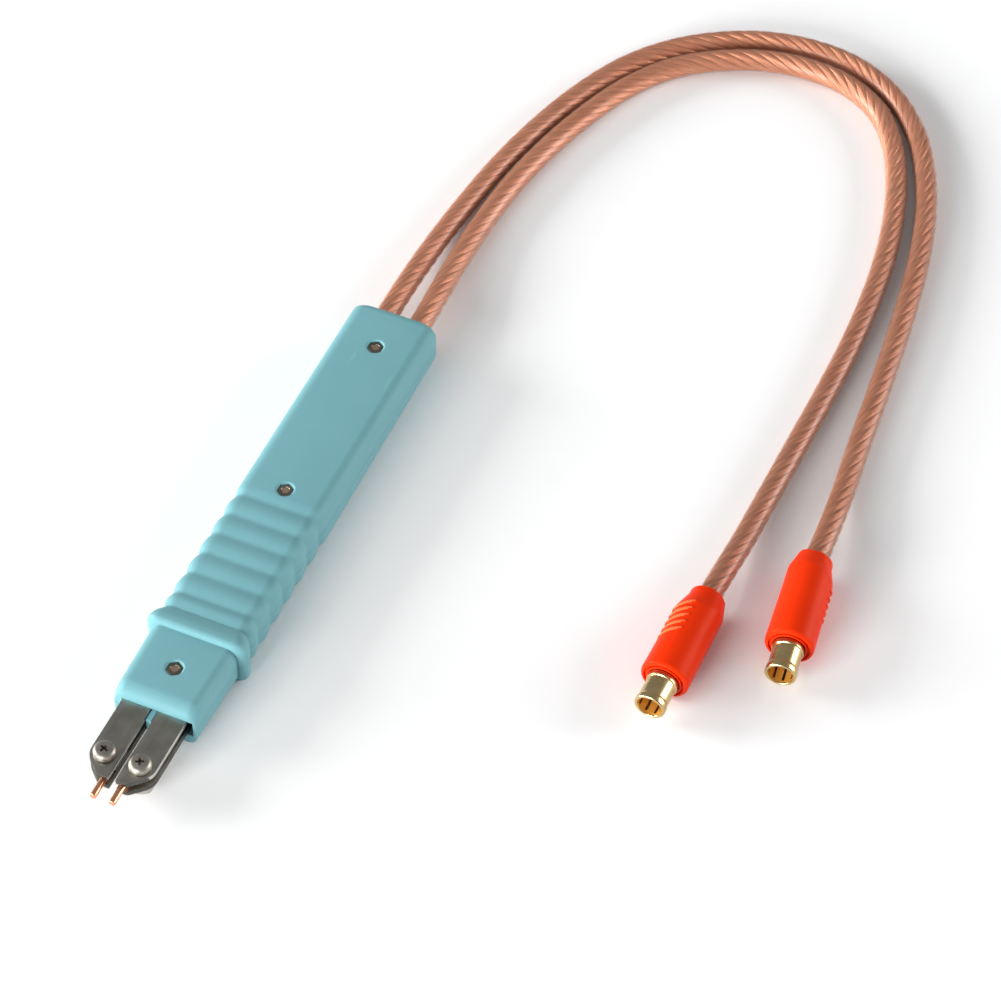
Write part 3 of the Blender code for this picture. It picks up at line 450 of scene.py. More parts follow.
# Cables
cable = {
    "radius": 3.25,
    "exitY": 4.85,
    "exitRoom": 0.3,
    "sunk": 1.7,
    "inBoot": 12.3,
    "step": 1.2,
    "jacketSides": 32,
    "copperRadius": 3.04,
    "bundleDepth": 0.62,
    "bundlePoints": 14,
    "bundleArc": 0.80,  # 1 for a half circle
    "lay": 31.0,  # one turn of the bundles
}
routes = {  # behind the rear face, sideways, and lift of the axis above a cable that lies on the table
    "left": (
        (-14.0, 4.3, 3.0), (-30.0, 3.3, 1.3), (-48.0, 3.1, 0.1), (-67.0, 4.7, 0), (-84.0, 8.0, 0),
        (-100.0, 12.6, 0), (-116.0, 19.3, 0), (-128.5, 28.2, 0), (-137.2, 39.8, 0), (-142.5, 52.5, 0),
        (-144.0, 65.0, 0), (-142.0, 77.5, 0), (-135.0, 89.0, 0), (-124.0, 97.3, 0), (-111.2, 103.0, 0),
        (-97.2, 107.2, 0), (-81.0, 110.3, 0), (-63.0, 112.1, 0), (-45.0, 112.8, 0), (-26.5, 112.6, 0),
        (-7.5, 112.0, 0), (11.5, 111.4, 0.1), (28.0, 111.1, 1.0), (40.0, 110.7, 2.4),
    ),
    "right": (
        (-14.0, -5.2, 3.0), (-31.0, -5.4, 1.3), (-50.0, -4.5, 0.1), (-70.5, -2.0, 0), (-88.5, 1.7, 0),
        (-105.5, 6.8, 0), (-122.0, 14.2, 0), (-135.0, 24.2, 0), (-144.5, 36.6, 0), (-150.4, 50.3, 0),
        (-152.2, 64.3, 0), (-150.0, 78.0, 0), (-142.8, 91.0, 0), (-131.2, 101.7, 0), (-117.4, 109.3, 0),
        (-101.8, 115.0, 0), (-84.3, 119.1, 0), (-65.5, 122.0, 0), (-47.0, 124.1, 0), (-29.5, 125.7, 0),
        (-12.5, 127.2, 0.1), (2.0, 128.8, 0.9), (14.0, 129.9, 2.2),
    ),
}
plugs = {
    "left": {"rear": (51.3, 110.17), "turn": -1.0, "roll": 0},
    "right": {"rear": (29.38, 130.76), "turn": 7.1, "roll": -146},
}
bootRadius = 6.4


def smoothPath(points, spacing):  # even steps along one smooth curve through the points
    points = [Vector(point) for point in points]
    along = [0.0]
    for a, b in zip(points, points[1:]):
        along.append(along[-1] + (b - a).length)
    last = len(points) - 1
    slopes = []
    for i in range(len(points)):
        a, b = max(i - 1, 0), min(i + 1, last)
        slopes.append((points[b] - points[a]) / (along[b] - along[a]))
    count = math.ceil(along[-1] / spacing)
    made, i = [], 0
    for step in range(count + 1):
        at = along[-1] * step / count
        while i < last - 1 and at > along[i + 1]:
            i += 1
        span = along[i + 1] - along[i]
        t = (at - along[i]) / span
        made.append(
            points[i] * (2 * t**3 - 3 * t**2 + 1)
            + slopes[i] * span * (t**3 - 2 * t**2 + t)
            + points[i + 1] * (3 * t**2 - 2 * t**3)
            + slopes[i + 1] * span * (t**3 - t**2)
        )
    return made


def cablePath(name, side):
    rear, turn = plugs[name]["rear"], math.radians(plugs[name]["turn"])
    heading = Vector((math.cos(turn), math.sin(turn), 0))
    bootRear = Vector((pen["rear"] + rear[0], rear[1], bootRadius))
    exitY = side * cable["exitY"]
    points = [(pen["rear"] + cable["sunk"], exitY, midZ), (pen["rear"] - cable["radius"], exitY, midZ)]
    points += [(pen["rear"] + x, y, cable["radius"] + lift) for x, y, lift in routes[name]]
    points.append(bootRear)
    path = smoothPath(points, cable["step"])
    count = round(cable["inBoot"] / cable["step"])
    return path + [bootRear + heading * cable["inBoot"] * step / count for step in range(1, count + 1)]


def sweptRings(path, outline, lay=0):  # the outline carried along the path, turning once in each lay
    rings = []
    across = Vector((0, 0, 1))
    run = 0.0
    for i, point in enumerate(path):
        ahead = (path[min(i + 1, len(path) - 1)] - path[max(i - 1, 0)]).normalized()
        across = (across - ahead * across.dot(ahead)).normalized()
        aside = ahead.cross(across)
        if i:
            run += (point - path[i - 1]).length
        twist = 2 * math.pi * run / lay if lay else 0
        ring = []
        for radius, angle in outline:
            turn = angle + twist
            ring.append(point + radius * (math.cos(turn) * across + math.sin(turn) * aside))
        rings.append(ring)
    return rings


def bundleOutline():
    outline = []
    count = strandLook["bundles"] * cable["bundlePoints"]
    for step in range(count):
        share = (step % cable["bundlePoints"]) / cable["bundlePoints"] * 2 - 1
        drop = 1 - math.sqrt(1 - cable["bundleArc"] * share * share)
        outline.append((cable["copperRadius"] - cable["bundleDepth"] * drop, 2 * math.pi * step / count))
    return outline


def pathLength(path):
    return sum((b - a).length for a, b in zip(path, path[1:]))


jackets, copperRuns, cablePaths = {}, {}, {}
for name, label, side in sides:
    path = cablePath(name, side)
    cablePaths[name] = path
    count = cable["jacketSides"]
    skin = [(cable["radius"], 2 * math.pi * step / count) for step in range(count)]
    jacket = rawPiece(drawRings(sweptRings(path, skin)), "cableJacket" + label)
    jackets[name] = settle(jacket, "handle", "clear_jacket", jacketPlastic, "cable_" + name, sharp=60)
    rings = sweptRings(path[1:-1], bundleOutline(), cable["lay"])
    copper = rawPiece(drawRings(rings, pathLength(path) / cable["lay"]), "cableCopper" + label)
    copperRuns[name] = settle(copper, "handle", "copper", strandCopper, sharp=70)
print("cables drawn:", [len(path) for path in cablePaths.values()], "stations")

# Housing
housing = {
    "corner": 3.4, "rearLowCorner": 5.0, "cornerSteps": 9,
    "rearRounding": 2.8, "rearSideRounding": 6.0,
    "valleys": 6, "pitch": 6.9, "depth": 0.5, "gripToMouth": 32.5, "ridgeSteps": 12,
    "collarToMouth": 27.7, "collarRun": 4.2, "collarCrest": 0.3, "collarStep": 1.6,
    "collarSide": 1.5, "collarTop": 0.5, "collarLowCorner": 3.0,
    "noseSide": 1.05, "noseStep": 1.0, "noseTaper": 0.5, "noseWall": 1.3, "noseCorner": 3.0,
    "lipRun": 4.2, "lipEdge": 0.3, "lipLength": 7.5,
    "wall": 2.0, "mouthSides": (-9.05, 10.4), "mouthTop": 9.51, "mouthBottom": 4.25,
    "seam": 0.06, "roundSteps": 12, "rearSteps": 12, "lipSteps": 14,
    "bossRadius": 2.0, "bossEnd": 0.9, "pocketWall": 0.7, "screwRoom": 0.3, "screwWay": 1.2,
    "flare": (0.15, 0.05, 0.2),  # inwards, outwards and sideways, at the mouth of a screw's way
    "dish": (  # radius, and height above the top face
        (0, -0.42), (2.0, -0.42), (2.18, -0.34), (2.45, -0.08), (2.66, 0), (2.7, 1), (0, 1),
    ),
    "past": 1, "mouthPast": 2, "exitMiddle": 1, "exitDepth": 6, "beyond": (200, 60, 30),
    "dividerHalf": 0.7, "dividerTop": 9.15, "dividerOut": 3.2, "dividerGap": 0.3, "dividerSoft": 0.15,
}
gripX = pen["mouth"] - housing["gripToMouth"] - (housing["valleys"] - 1) * housing["pitch"]
collarX = pen["mouth"] - housing["collarToMouth"]
stepX = collarX + housing["collarRun"] + housing["collarCrest"]
noseX = stepX + housing["collarStep"]
screwSeats = (  # name, label, x, top face, wall there
    ("rear", "Rear", -69.875, 14.0, 2.0),
    ("middle", "Middle", -15.875, 14.0, 2.0),
    ("front", "Front", 45.625, 13.0, 1.3),
)
housingNut = {"flats": 3.9, "height": 1.6, "recess": 0.4, "bore": 1.0, "room": 0.2, "snug": 0.04}
housingScrew = {
    "shank": 1.0, "length": 10.0, "head": 1.9, "headHeight": 1.4, "rounding": 0.8,
    "cross": (2.0, 0.5, 0.8), "pitch": 0.4, "threadDepth": 0.16, "turn": 20,
}


def crossSection(x, half, low, high, corner, lowCorner=None):
    most = min(half, (high - low) / 2)
    top = min(corner, most)
    under = top if lowCorner is None else min(lowCorner, most)
    count = housing["cornerSteps"]
    points = []
    for i, (y, z, radius) in enumerate(
        (
            (half - top, high - top, top),
            (top - half, high - top, top),
            (under - half, low + under, under),
            (half - under, low + under, under),
        )
    ):
        for step in range(count + 1):
            turn = (i + step / count) * math.pi / 2
            points.append((x, y + radius * math.cos(turn), z + radius * math.sin(turn)))
    return points


def skinRings():
    h, rear, mouth, half, height = housing, pen["rear"], pen["mouth"], pen["half"], pen["height"]
    rings = []
    for turn in quarter(h["roundSteps"]):
        x = rear + h["rearRounding"] * (1 - math.cos(turn))
        inset = h["rearRounding"] * (1 - math.sin(turn))
        wide = half - h["rearSideRounding"] * (1 - math.sin(turn))
        rings.append(crossSection(x, wide, inset, height - inset, h["corner"], h["rearLowCorner"]))
    start, end = rear + h["rearRounding"], gripX - h["pitch"] / 2
    for step in range(1, h["rearSteps"] + 1):
        share = step / h["rearSteps"]
        under = h["rearLowCorner"] + (h["corner"] - h["rearLowCorner"]) * share
        rings.append(crossSection(start + (end - start) * share, half, 0, height, h["corner"], under))
    spans = [(gripX + (i - 1) * h["pitch"], gripX + i * h["pitch"]) for i in range(h["valleys"])]
    spans.append((spans[-1][1], collarX))
    for a, b in spans:
        for step in range(h["ridgeSteps"]):
            share = (step + 0.5) / h["ridgeSteps"]
            x = a + (b - a) * share
            if x > end:
                inset = h["depth"] * (1 - math.sin(math.pi * share))
                rings.append(crossSection(x, half - inset, inset, height - inset, h["corner"]))
    collarHalf, collarTop = half + h["collarSide"], height + h["collarTop"]
    for turn in quarter(h["roundSteps"]):
        rise = h["depth"] * (1 - math.sin(turn))
        rings.append(
            crossSection(
                collarX + h["collarRun"] * turn / (math.pi / 2),
                half - h["depth"] + (h["collarSide"] + h["depth"]) * math.sin(turn),
                rise,
                height - h["depth"] + (h["collarTop"] + h["depth"]) * math.sin(turn),
                h["corner"],
                h["collarLowCorner"],
            )
        )
    noseHalf, noseTop = half - h["noseSide"], height - h["noseStep"]
    noseRoot = noseHalf + h["noseTaper"]
    for turn in quarter(h["roundSteps"]):
        drop = 1 - math.cos(turn)
        rings.append(
            crossSection(
                stepX + h["collarStep"] * math.sin(turn),
                collarHalf + (noseRoot - collarHalf) * drop,
                h["noseStep"] * drop,
                collarTop + (noseTop - collarTop) * drop,
                h["corner"] + (h["noseCorner"] - h["corner"]) * drop,
                h["collarLowCorner"] + (h["noseCorner"] - h["collarLowCorner"]) * drop,
            )
        )
    for turn in quarter(h["lipSteps"]):
        x = mouth - h["lipRun"] * (1 - math.sin(turn))
        wide = noseHalf + h["noseTaper"] * (mouth - x) / (mouth - noseX)
        drop = (noseTop - h["mouthTop"] - h["lipEdge"]) * (1 - math.cos(turn))
        rings.append(crossSection(x, wide, h["noseStep"], noseTop - drop, h["noseCorner"]))
    return rings


def hollowRings():
    h, rear, mouth, half, height = housing, pen["rear"], pen["mouth"], pen["half"], pen["height"]
    wall, thin = h["wall"], h["wall"] + h["depth"]
    corner = h["corner"] - wall
    noseHalf, noseLow = half - h["noseSide"] - h["noseWall"], h["noseStep"] + h["noseWall"]
    return [
        crossSection(rear + wall, half - wall, wall, height - wall, corner),
        crossSection(gripX - h["pitch"], half - wall, wall, height - wall, corner),
        crossSection(gripX - h["pitch"] / 2, half - thin, thin, height - thin, corner),
        crossSection(collarX, half - thin, thin, height - thin, corner),
        crossSection(noseX, noseHalf, noseLow, height - noseLow, corner),
        crossSection(mouth - h["lipLength"], noseHalf, noseLow, height - noseLow, corner),
    ]


def makeHousing():
    h, rear, mouth, height = housing, pen["rear"], pen["mouth"], pen["height"]
    skin = rawPiece(drawRings(skinRings()), "housingUpper")
    hollow = rawPiece(drawRings(hollowRings()), "hollow")
    nutHalf, past = housingNut["flats"] / 2, h["past"]
    pocket = (nutHalf + housingNut["room"]) / math.cos(math.pi / 6) + h["pocketWall"]
    snug = (nutHalf + housingNut["snug"]) / math.cos(math.pi / 6)
    headRoom = housingScrew["head"] + housingNut["room"]
    foot = headRoom + h["pocketWall"]
    pockets, dishes, ways = bmesh.new(), bmesh.new(), bmesh.new()
    for _, _, x, top, wall in screwSeats:
        floor = top - housingNut["recess"] - housingNut["height"] - h["screwRoom"]
        seat = top - housingNut["recess"] - housingScrew["length"] + h["screwRoom"]
        low = height - top
        column = bmesh.new()
        outline = [
            (0, top - wall / 2), (pocket, top - wall / 2), (pocket, floor - h["bossEnd"]),
            (h["bossRadius"], floor - h["bossEnd"]), (h["bossRadius"], seat + h["bossEnd"]),
            (foot, seat + h["bossEnd"]), (foot, low + wall / 2), (0, low + wall / 2),
        ]
        addTurned(column, outline, place=(x, 0, 0))
        combine(hollow, rawPiece(column, "column"))
        outline = [(0, floor), (snug, floor), (snug, top + past), (0, top + past)]
        addTurned(pockets, outline, 6, place=(x, 0, 0))
        addTurned(dishes, [(radius, top + rise) for radius, rise in h["dish"]], place=(x, 0, 0))
        inwards, outwards, sideways = h["flare"]
        outline = [
            (0, top - past), (h["screwWay"], top - past), (h["screwWay"], seat), (headRoom, seat),
            (headRoom, low + inwards), (headRoom + sideways, low - outwards),
            (headRoom + sideways, low - past), (0, low - past),
        ]
        addTurned(ways, outline, place=(x, 0, 0))
    combine(skin, hollow)
    combine(skin, rawPiece(ways, "screwWays"))
    combine(skin, rawPiece(pockets, "nutPockets"))
    combine(skin, rawPiece(dishes, "pocketRims"))
    openings = bmesh.new()
    for _, _, side in sides:
        place = Matrix.Translation((rear + h["exitMiddle"], side * cable["exitY"], midZ)) @ zToX
        addRod(openings, place, cable["radius"] + cable["exitRoom"], h["exitDepth"])
    low, high = h["mouthSides"]
    addBox(
        openings,
        (mouth - h["lipLength"] - h["mouthPast"], low, h["mouthBottom"]),
        (mouth + h["mouthPast"], high, h["mouthTop"]),
    )
    combine(skin, rawPiece(openings, "openings"))
    lower = twin(skin)
    lower.name = "housingLower"
    long, wide, tall = h["beyond"]
    for half, low, high in ((skin, midZ + h["seam"] / 2, tall), (lower, -tall, midZ - h["seam"] / 2)):
        bm = bmesh.new()
        addBox(bm, (-long, -wide, low), (long, wide, high))
        combine(half, rawPiece(bm, "halving"), "INTERSECT")
    bm = bmesh.new()
    addBox(
        bm,
        (screwSeats[2][2] + pocket + h["dividerGap"], -h["dividerHalf"], h["mouthBottom"] - h["lipEdge"]),
        (mouth + h["dividerOut"], h["dividerHalf"], h["dividerTop"]),
    )
    upper = [edge for edge in bm.edges if all(vert.co.z > midZ for vert in edge.verts)]
    bmesh.ops.bevel(
        bm, geom=upper, offset=h["dividerSoft"], affect="EDGES", segments=3, profile=0.5, material=-1
    )
    combine(lower, rawPiece(bm, "divider"), "UNION")
    settle(skin, "handle", "teal_plastic", tealMoulding, "upper_shell", sharp=18)
    settle(lower, "handle", "teal_plastic", tealMoulding, "lower_shell", sharp=18)


makeHousing()
print("housing made")

# Fasteners
nutForm = {"rim": 0.97, "edge": 1.02, "slope": 0.55, "sink": 0.16, "past": 0.1, "count": 60}
screwForm = {
    "thread": ((0, 0), (0, 0.12), (1, 0.42), (1, 0.58), (0, 0.88), (0, 1)),  # root or crest, share of pitch
    "threadSteps": 24, "spareTurns": 3, "intoHead": 0.3,
    "seatEdge": 0.12, "dome": (0.35, 0.10, 0.12), "crossFloor": 0.45, "roundSteps": 8, "count": 56,
}


def hexNut(spec):  # a chamfered hexagon with a countersunk thread hole, its middle at the origin
    flats, bore, top = spec["flats"], spec["bore"], spec["height"] / 2
    corner = flats / 2 / math.cos(math.pi / 6)
    bm = bmesh.new()
    addTurned(bm, [(0, -top), (corner, -top), (corner, top), (0, top)], 6)
    nut = rawPiece(bm, "nut")
    bm = bmesh.new()
    rim, edge = flats / 2 * nutForm["rim"], corner * nutForm["edge"]
    drop = (edge - rim) * nutForm["slope"]
    outline = [(0, -top), (rim, -top), (edge, drop - top), (edge, top - drop), (rim, top), (0, top)]
    addTurned(bm, outline, nutForm["count"])
    combine(nut, rawPiece(bm, "chamfer"), "INTERSECT")
    bm = bmesh.new()
    sink, past = bore * nutForm["sink"], nutForm["past"]
    mouth = bore + sink + past
    outline = [
        (0, -top - past), (mouth, -top - past), (bore, sink - top),
        (bore, top - sink), (mouth, top + past), (0, top + past),
    ]
    addTurned(bm, outline)
    combine(nut, rawPiece(bm, "threadHole"))
    return nut


def addThread(bm, spec, low, high):  # a helical thread between two heights
    pitch, outer = spec["pitch"], spec["shank"]
    reach = (outer - spec["threadDepth"], outer)
    spare, count = screwForm["spareTurns"], screwForm["threadSteps"]
    start = low - spare / 2 * pitch
    verts = [bm.verts.new((reach[crest], 0, start + share * pitch)) for crest, share in screwForm["thread"]]
    edges = [bm.edges.new(pair) for pair in zip(verts, verts[1:])]
    turns = math.ceil((high - low) / pitch) + spare
    bmesh.ops.spin(
        bm, geom=verts + edges, cent=(0, 0, 0), axis=(0, 0, 1), dvec=(0, 0, pitch / count),
        angle=2 * math.pi * turns, steps=turns * count,
    )
    bmesh.ops.remove_doubles(bm, verts=bm.verts, dist=weld["turned"])
    for height, way in ((low, -1), (high, 1)):
        bmesh.ops.bisect_plane(
            bm, geom=bm.verts[:] + bm.edges[:] + bm.faces[:], plane_co=(0, 0, height), plane_no=(0, 0, way),
            clear_outer=True,
        )
        cut = {vert for vert in bm.verts if abs(vert.co.z - height) < weld["cut"]}
        rim = [edge for edge in bm.edges if edge.is_boundary and all(vert in cut for vert in edge.verts)]
        bmesh.ops.contextual_create(bm, geom=rim)
    bmesh.ops.recalc_face_normals(bm, faces=bm.faces)


def panScrew(spec):  # a turned head with a cross recess on a threaded shank, its seat at the origin
    radius, high, rounding = spec["head"], spec["headHeight"], spec["rounding"]
    share, rise, crown = screwForm["dome"]
    bm = bmesh.new()
    corners = [
        (0, 0, 0), (radius, 0, screwForm["seatEdge"]), (radius, high, rounding),
        (radius * share, high + rise, 0), (0, high + crown, 0),
    ]
    addTurned(bm, softened(corners, screwForm["roundSteps"]), screwForm["count"])
    screw = rawPiece(bm, "screw")
    bm = bmesh.new()
    addThread(bm, spec, -spec["length"], screwForm["intoHead"])
    combine(screw, rawPiece(bm, "thread"), "UNION")
    long, wide, deep = spec["cross"]
    narrow = screwForm["crossFloor"]
    for x, y in ((long, wide), (wide, long)):
        bm = bmesh.new()
        made = addBox(bm, (-x / 2, -y / 2, high - deep), (x / 2, y / 2, high + deep))
        low = [vert for vert in made["verts"] if vert.co.z < high]
        bmesh.ops.scale(bm, vec=(narrow, narrow, 1), verts=low)
        combine(screw, rawPiece(bm, "cross"))
    return screw


def setDown(piece, name, place, turn=0.0, flip=False):
    piece.name = name
    spin = Matrix.Rotation(math.radians(turn), 4, "Z")
    over = Matrix.Rotation(math.pi if flip else 0, 4, "X")
    piece.data.transform(Matrix.Translation(place) @ over @ spin)
    return piece


nutMade, screwMade = hexNut(housingNut), panScrew(housingScrew)
for name, label, x, top, _ in screwSeats:
    nutTop = top - housingNut["recess"]
    nut = setDown(twin(nutMade), "housingNut" + label, (x, 0, nutTop - housingNut["height"] / 2))
    settle(nut, "handle", "screw_steel", metals["dark"], "housing_nut_" + name)
    place = (x, 0, nutTop - housingScrew["length"])
    screw = setDown(twin(screwMade), "housingScrew" + label, place, housingScrew["turn"], True)
    settle(screw, "handle", "screw_steel", metals["warm"], "housing_screw_" + name)
for made in (nutMade, screwMade):
    bpy.data.objects.remove(made)

clampScrew = {
    "seat": 9.75, "shank": 1.5, "length": 8.3, "head": 2.9, "headHeight": 2.0, "rounding": 1.2,
    "cross": (3.2, 0.9, 1.1), "pitch": 0.5, "threadDepth": 0.26, "turns": (25, 70),
}
clampNut = {"flats": 5.5, "height": 2.4, "bore": 1.52, "top": 4.25}
clampAt = (73.225, 4.85)
nutMade, screwMade = hexNut(clampNut), panScrew(clampScrew)
for (name, label, side), turn in zip(sides, clampScrew["turns"]):
    x, y = clampAt[0], side * clampAt[1]
    screw = setDown(twin(screwMade), "clampScrew" + label, (x, y, clampScrew["seat"]), turn)
    settle(screw, "clamp_screw_" + name, "screw_steel", metals["head"], "clamp_screw_" + name)
    nut = setDown(twin(nutMade), "clampNut" + label, (x, y, clampNut["top"] - clampNut["height"] / 2))
    settle(nut, "clamp_nut_" + name, "screw_steel", metals["steel"], "clamp_nut_" + name)
for made in (nutMade, screwMade):
    bpy.data.objects.remove(made)
print("fasteners made")

# Jaws and electrodes
jaw = {
    "rear": 22.375, "front": 79.225, "inner": 1.0, "outer": 8.85, "frontWidth": 2.95, "chamfer": 4.5,
    "corner": 2.0, "sideCorner": 5.0, "sharpCorner": 0.4, "cornerSteps": 8, "thickness": 1.4, "soft": 0.18,
    "levels": (("upper", "Upper", 8.05, "edge"), ("lower", "Lower", 4.55, "shade")),  # with the rim's metal: lighter on the upper rims as a painted reflection, painted shade on the lower rims
    "rivetAt": (27.375, 4.925, 1.4), "columnRoom": 3.54, "rimTilt": 0.9, "frontTilt": 0.5,
}
electrode = {
    "inner": -3.65, "notch": -1.15, "notchRear": 2.1, "front": 3.8, "frontWidth": 0.8, "outer": 2.9,
    "behind": 4.8, "corner": 0.6, "cornerSteps": 4, "thickness": 1.5, "soft": 0.08, "hole": 1.7,
    "pinRadius": 0.9, "pinRear": 2.4, "pinY": -2.25, "pinLength": 8.5, "pinChamfer": 0.2, "pinEdge": 0.1,
    "pinSides": 40,
}


def cutPlate(outline, low, thickness, soft, holes):  # a stamped plate with broken edges
    bm = bmesh.new()
    face = bm.faces.new([bm.verts.new((x, y, low)) for x, y in outline])
    raised = bmesh.ops.extrude_face_region(bm, geom=[face])["geom"]
    verts = [part for part in raised if isinstance(part, bmesh.types.BMVert)]
    bmesh.ops.translate(bm, verts=verts, vec=(0, 0, thickness))
    bmesh.ops.recalc_face_normals(bm, faces=bm.faces)
    rims = [edge for edge in bm.edges if abs(edge.verts[0].co.z - edge.verts[1].co.z) < thickness / 2]
    bmesh.ops.bevel(bm, geom=rims, offset=soft, affect="EDGES", segments=2, profile=0.5, material=-1)
    piece = rawPiece(bm, "plate")
    bm = bmesh.new()
    for x, y, radius in holes:
        addRod(bm, Matrix.Translation((x, y, low + thickness / 2)), radius, 3 * thickness)
    combine(piece, rawPiece(bm, "holes"))
    return piece


def onRim(face):
    return abs(face.normal.z) < jaw["rimTilt"]


def onFront(face):
    return onRim(face) and face.normal.x > jaw["frontTilt"]


for name, label, side in sides:
    outline = softened(
        [
            (jaw["rear"], side * jaw["inner"], 0),
            (jaw["front"], side * jaw["inner"], jaw["sharpCorner"]),
            (jaw["front"], side * (jaw["inner"] + jaw["frontWidth"]), jaw["corner"]),
            (jaw["front"] - jaw["chamfer"], side * jaw["outer"], jaw["sideCorner"]),
            (jaw["rear"], side * jaw["outer"], jaw["sharpCorner"]),
        ],
        jaw["cornerSteps"],
    )
    rivetX, rivetY, rivetHole = jaw["rivetAt"]
    holes = [
        (clampAt[0], side * clampAt[1], electrode["hole"]),
        (rivetX, side * rivetY, rivetHole),
        (screwSeats[2][2], 0, jaw["columnRoom"]),
    ]
    for level, levelLabel, low, rim in jaw["levels"]:
        plate = cutPlate(outline, low, jaw["thickness"], jaw["soft"], holes)
        plate.name = "jaw" + levelLabel + label
        settle(plate, "handle", "nickel_plate", metals["nickel"], f"{level}_jaw_{name}")
        # the rims get painted light: a lighter metal as a painted reflection on the upper jaws, painted
        # shade on the lower
        tint(plate, metals[rim], onRim)
        # the front rims get painted shade
        tint(plate, metals["shade"], onFront)

    e = electrode
    outline = softened(
        [
            (-e["behind"], side * e["inner"], e["corner"]),
            (e["notchRear"], side * e["inner"], 0),
            (e["notchRear"], side * e["notch"], 0),
            (e["front"], side * e["notch"], 0),
            (e["front"], side * (e["notch"] + e["frontWidth"]), e["corner"]),
            (0, side * e["outer"], e["corner"]),
            (-e["behind"], side * e["outer"], e["corner"]),
        ],
        e["cornerSteps"],
    )
    plate = cutPlate(outline, -e["thickness"] / 2, e["thickness"], e["soft"], [(0, 0, e["hole"])])
    pivot = (clampAt[0], side * clampAt[1], midZ)
    setDown(plate, "electrodePlate" + label, pivot)
    settle(plate, "electrode_" + name, "yellow_zinc", metals["zinc"], "electrode_plate_" + name)
    # the plate's rims get painted shade
    tint(plate, metals["shade"], onRim)
    bm = bmesh.new()
    corners = [
        (0, 0, 0), (e["pinRadius"], 0, e["pinEdge"]),
        (e["pinRadius"], e["pinLength"], e["pinChamfer"]), (0, e["pinLength"], 0),
    ]
    addTurned(bm, softened(corners, e["cornerSteps"]), e["pinSides"])
    lay = Matrix.Translation((pivot[0] + e["pinRear"], pivot[1] + side * e["pinY"], midZ))
    bmesh.ops.transform(bm, matrix=lay @ zToX, verts=bm.verts)
    pin = rawPiece(bm, "electrodePin" + label)
    settle(pin, "electrode_" + name, "copper", metals["copper"], "electrode_pin_" + name)
print("jaws and electrodes made")

# Plugs
boot = {
    "length": 28.9, "radius": bootRadius, "taper": 0.25, "rim": 1.0, "neckRadius": 4.7, "neckRound": 0.8,
    "neck": 1.0, "shoulder": 6.0, "shoulderRound": 2.5, "shoulderEnd": 10.0, "tilt": 1.2, "tiltRoom": 0.05,
    "cableBore": 3.55, "bore": 4.2, "step": 12.6, "edge": 0.12, "rearEdge": 0.1,
    "grooveIn": 4.8, "grooveOut": 5.4, "grooveDepth": 0.7, "cornerSteps": 6, "count": 72,
    "ribs": 5, "firstRib": 8.2, "ribPitch": 2.3, "ribRadius": 0.62, "ribSunk": 0.16, "ribTip": 0.3,
    "ribHalfAngle": 38, "ribFacing": 218, "ribSlant": 1.5, "ribCrest": 6.38, "ribEnd": 20,
    "ribSteps": 10, "ribSides": 12,
}
socket = {
    "radius": 4.0, "flange": 4.15, "flangeEnd": 30.3, "flangeRear": (1.2, 1.1), "flangeEdges": (0.05, 0.2),
    "waist": 3.84, "waistRear": (0.2, 0.15), "waistFront": (0.8, 1.0),  # run and rounding
    "rim": 4.08, "rimLength": 1.5, "rimRound": 0.8, "lipOut": 0.42, "lipIn": 0.38, "lipDepth": 0.45,
    "bore": 3.2, "mouth": 37.9, "rear": 15.4, "rearEdge": 0.1, "web": 21.4, "boreEnd": 23.4,
    "boreRound": 0.2, "cup": 2.6, "cornerSteps": 5, "count": 72,
    "flutes": 8, "fluteRadius": 0.35, "fluteMiddle": 7, "fluteLength": 12, "fluteSides": 12,
    "grooveReach": (0.06, 0.42),  # how far behind the wall the grooves' faces lie
}


def bootForm():  # its shoulder lies further forward on the ribbed side
    b = boot
    body, floor = b["radius"] - b["taper"], b["length"] - b["grooveDepth"]
    corners = [
        (b["cableBore"], 0, b["rearEdge"]), (b["neckRadius"], 0, b["neckRound"]),
        (b["neckRadius"], b["neck"], 0), (body, b["shoulder"], b["shoulderRound"]),
        (body, b["shoulderEnd"], 0), (b["radius"], b["length"], b["rim"]),
        (b["grooveOut"], b["length"], b["edge"]), (b["grooveOut"], floor, 0),
        (b["grooveIn"], floor, 0), (b["grooveIn"], b["length"], b["edge"]),
        (b["bore"], b["length"], b["edge"]), (b["bore"], b["step"], 0), (b["cableBore"], b["step"], 0),
    ]
    bm = bmesh.new()
    addTurned(bm, softened(corners, b["cornerSteps"]), b["count"], ring=True)
    facing, room = math.radians(b["ribFacing"]), b["tiltRoom"]
    for vert in bm.verts:
        outside = math.hypot(vert.co.x, vert.co.y) > b["neckRadius"] - room
        if outside and b["neckRound"] + room < vert.co.z < b["shoulderEnd"] - room:
            vert.co.z += b["tilt"] * math.cos(math.atan2(vert.co.y, vert.co.x) - facing)
    form = rawPiece(bm, "boot")
    reach = body - b["ribSunk"]
    spots = [2 * math.pi * spot / b["ribSides"] for spot in range(b["ribSides"])]
    for i in range(b["ribs"]):
        along = b["firstRib"] + i * b["ribPitch"]
        rings = []
        for step in range(-b["ribSteps"], b["ribSteps"] + 1):
            share = step / b["ribSteps"]
            turn = facing + math.radians(b["ribHalfAngle"]) * share
            out = Vector((math.cos(turn), math.sin(turn), 0))
            height = along + b["ribSlant"] * share
            thick = b["ribRadius"] * max(b["ribTip"], math.sqrt(1 - share**4))
            ring = []
            for spot in spots:
                lift = Vector((0, 0, height + thick * math.sin(spot)))
                ring.append(out * (reach + thick * math.cos(spot)) + lift)
            rings.append(ring)
        combine(form, rawPiece(drawRings(rings), "rib"), "UNION")
    return form


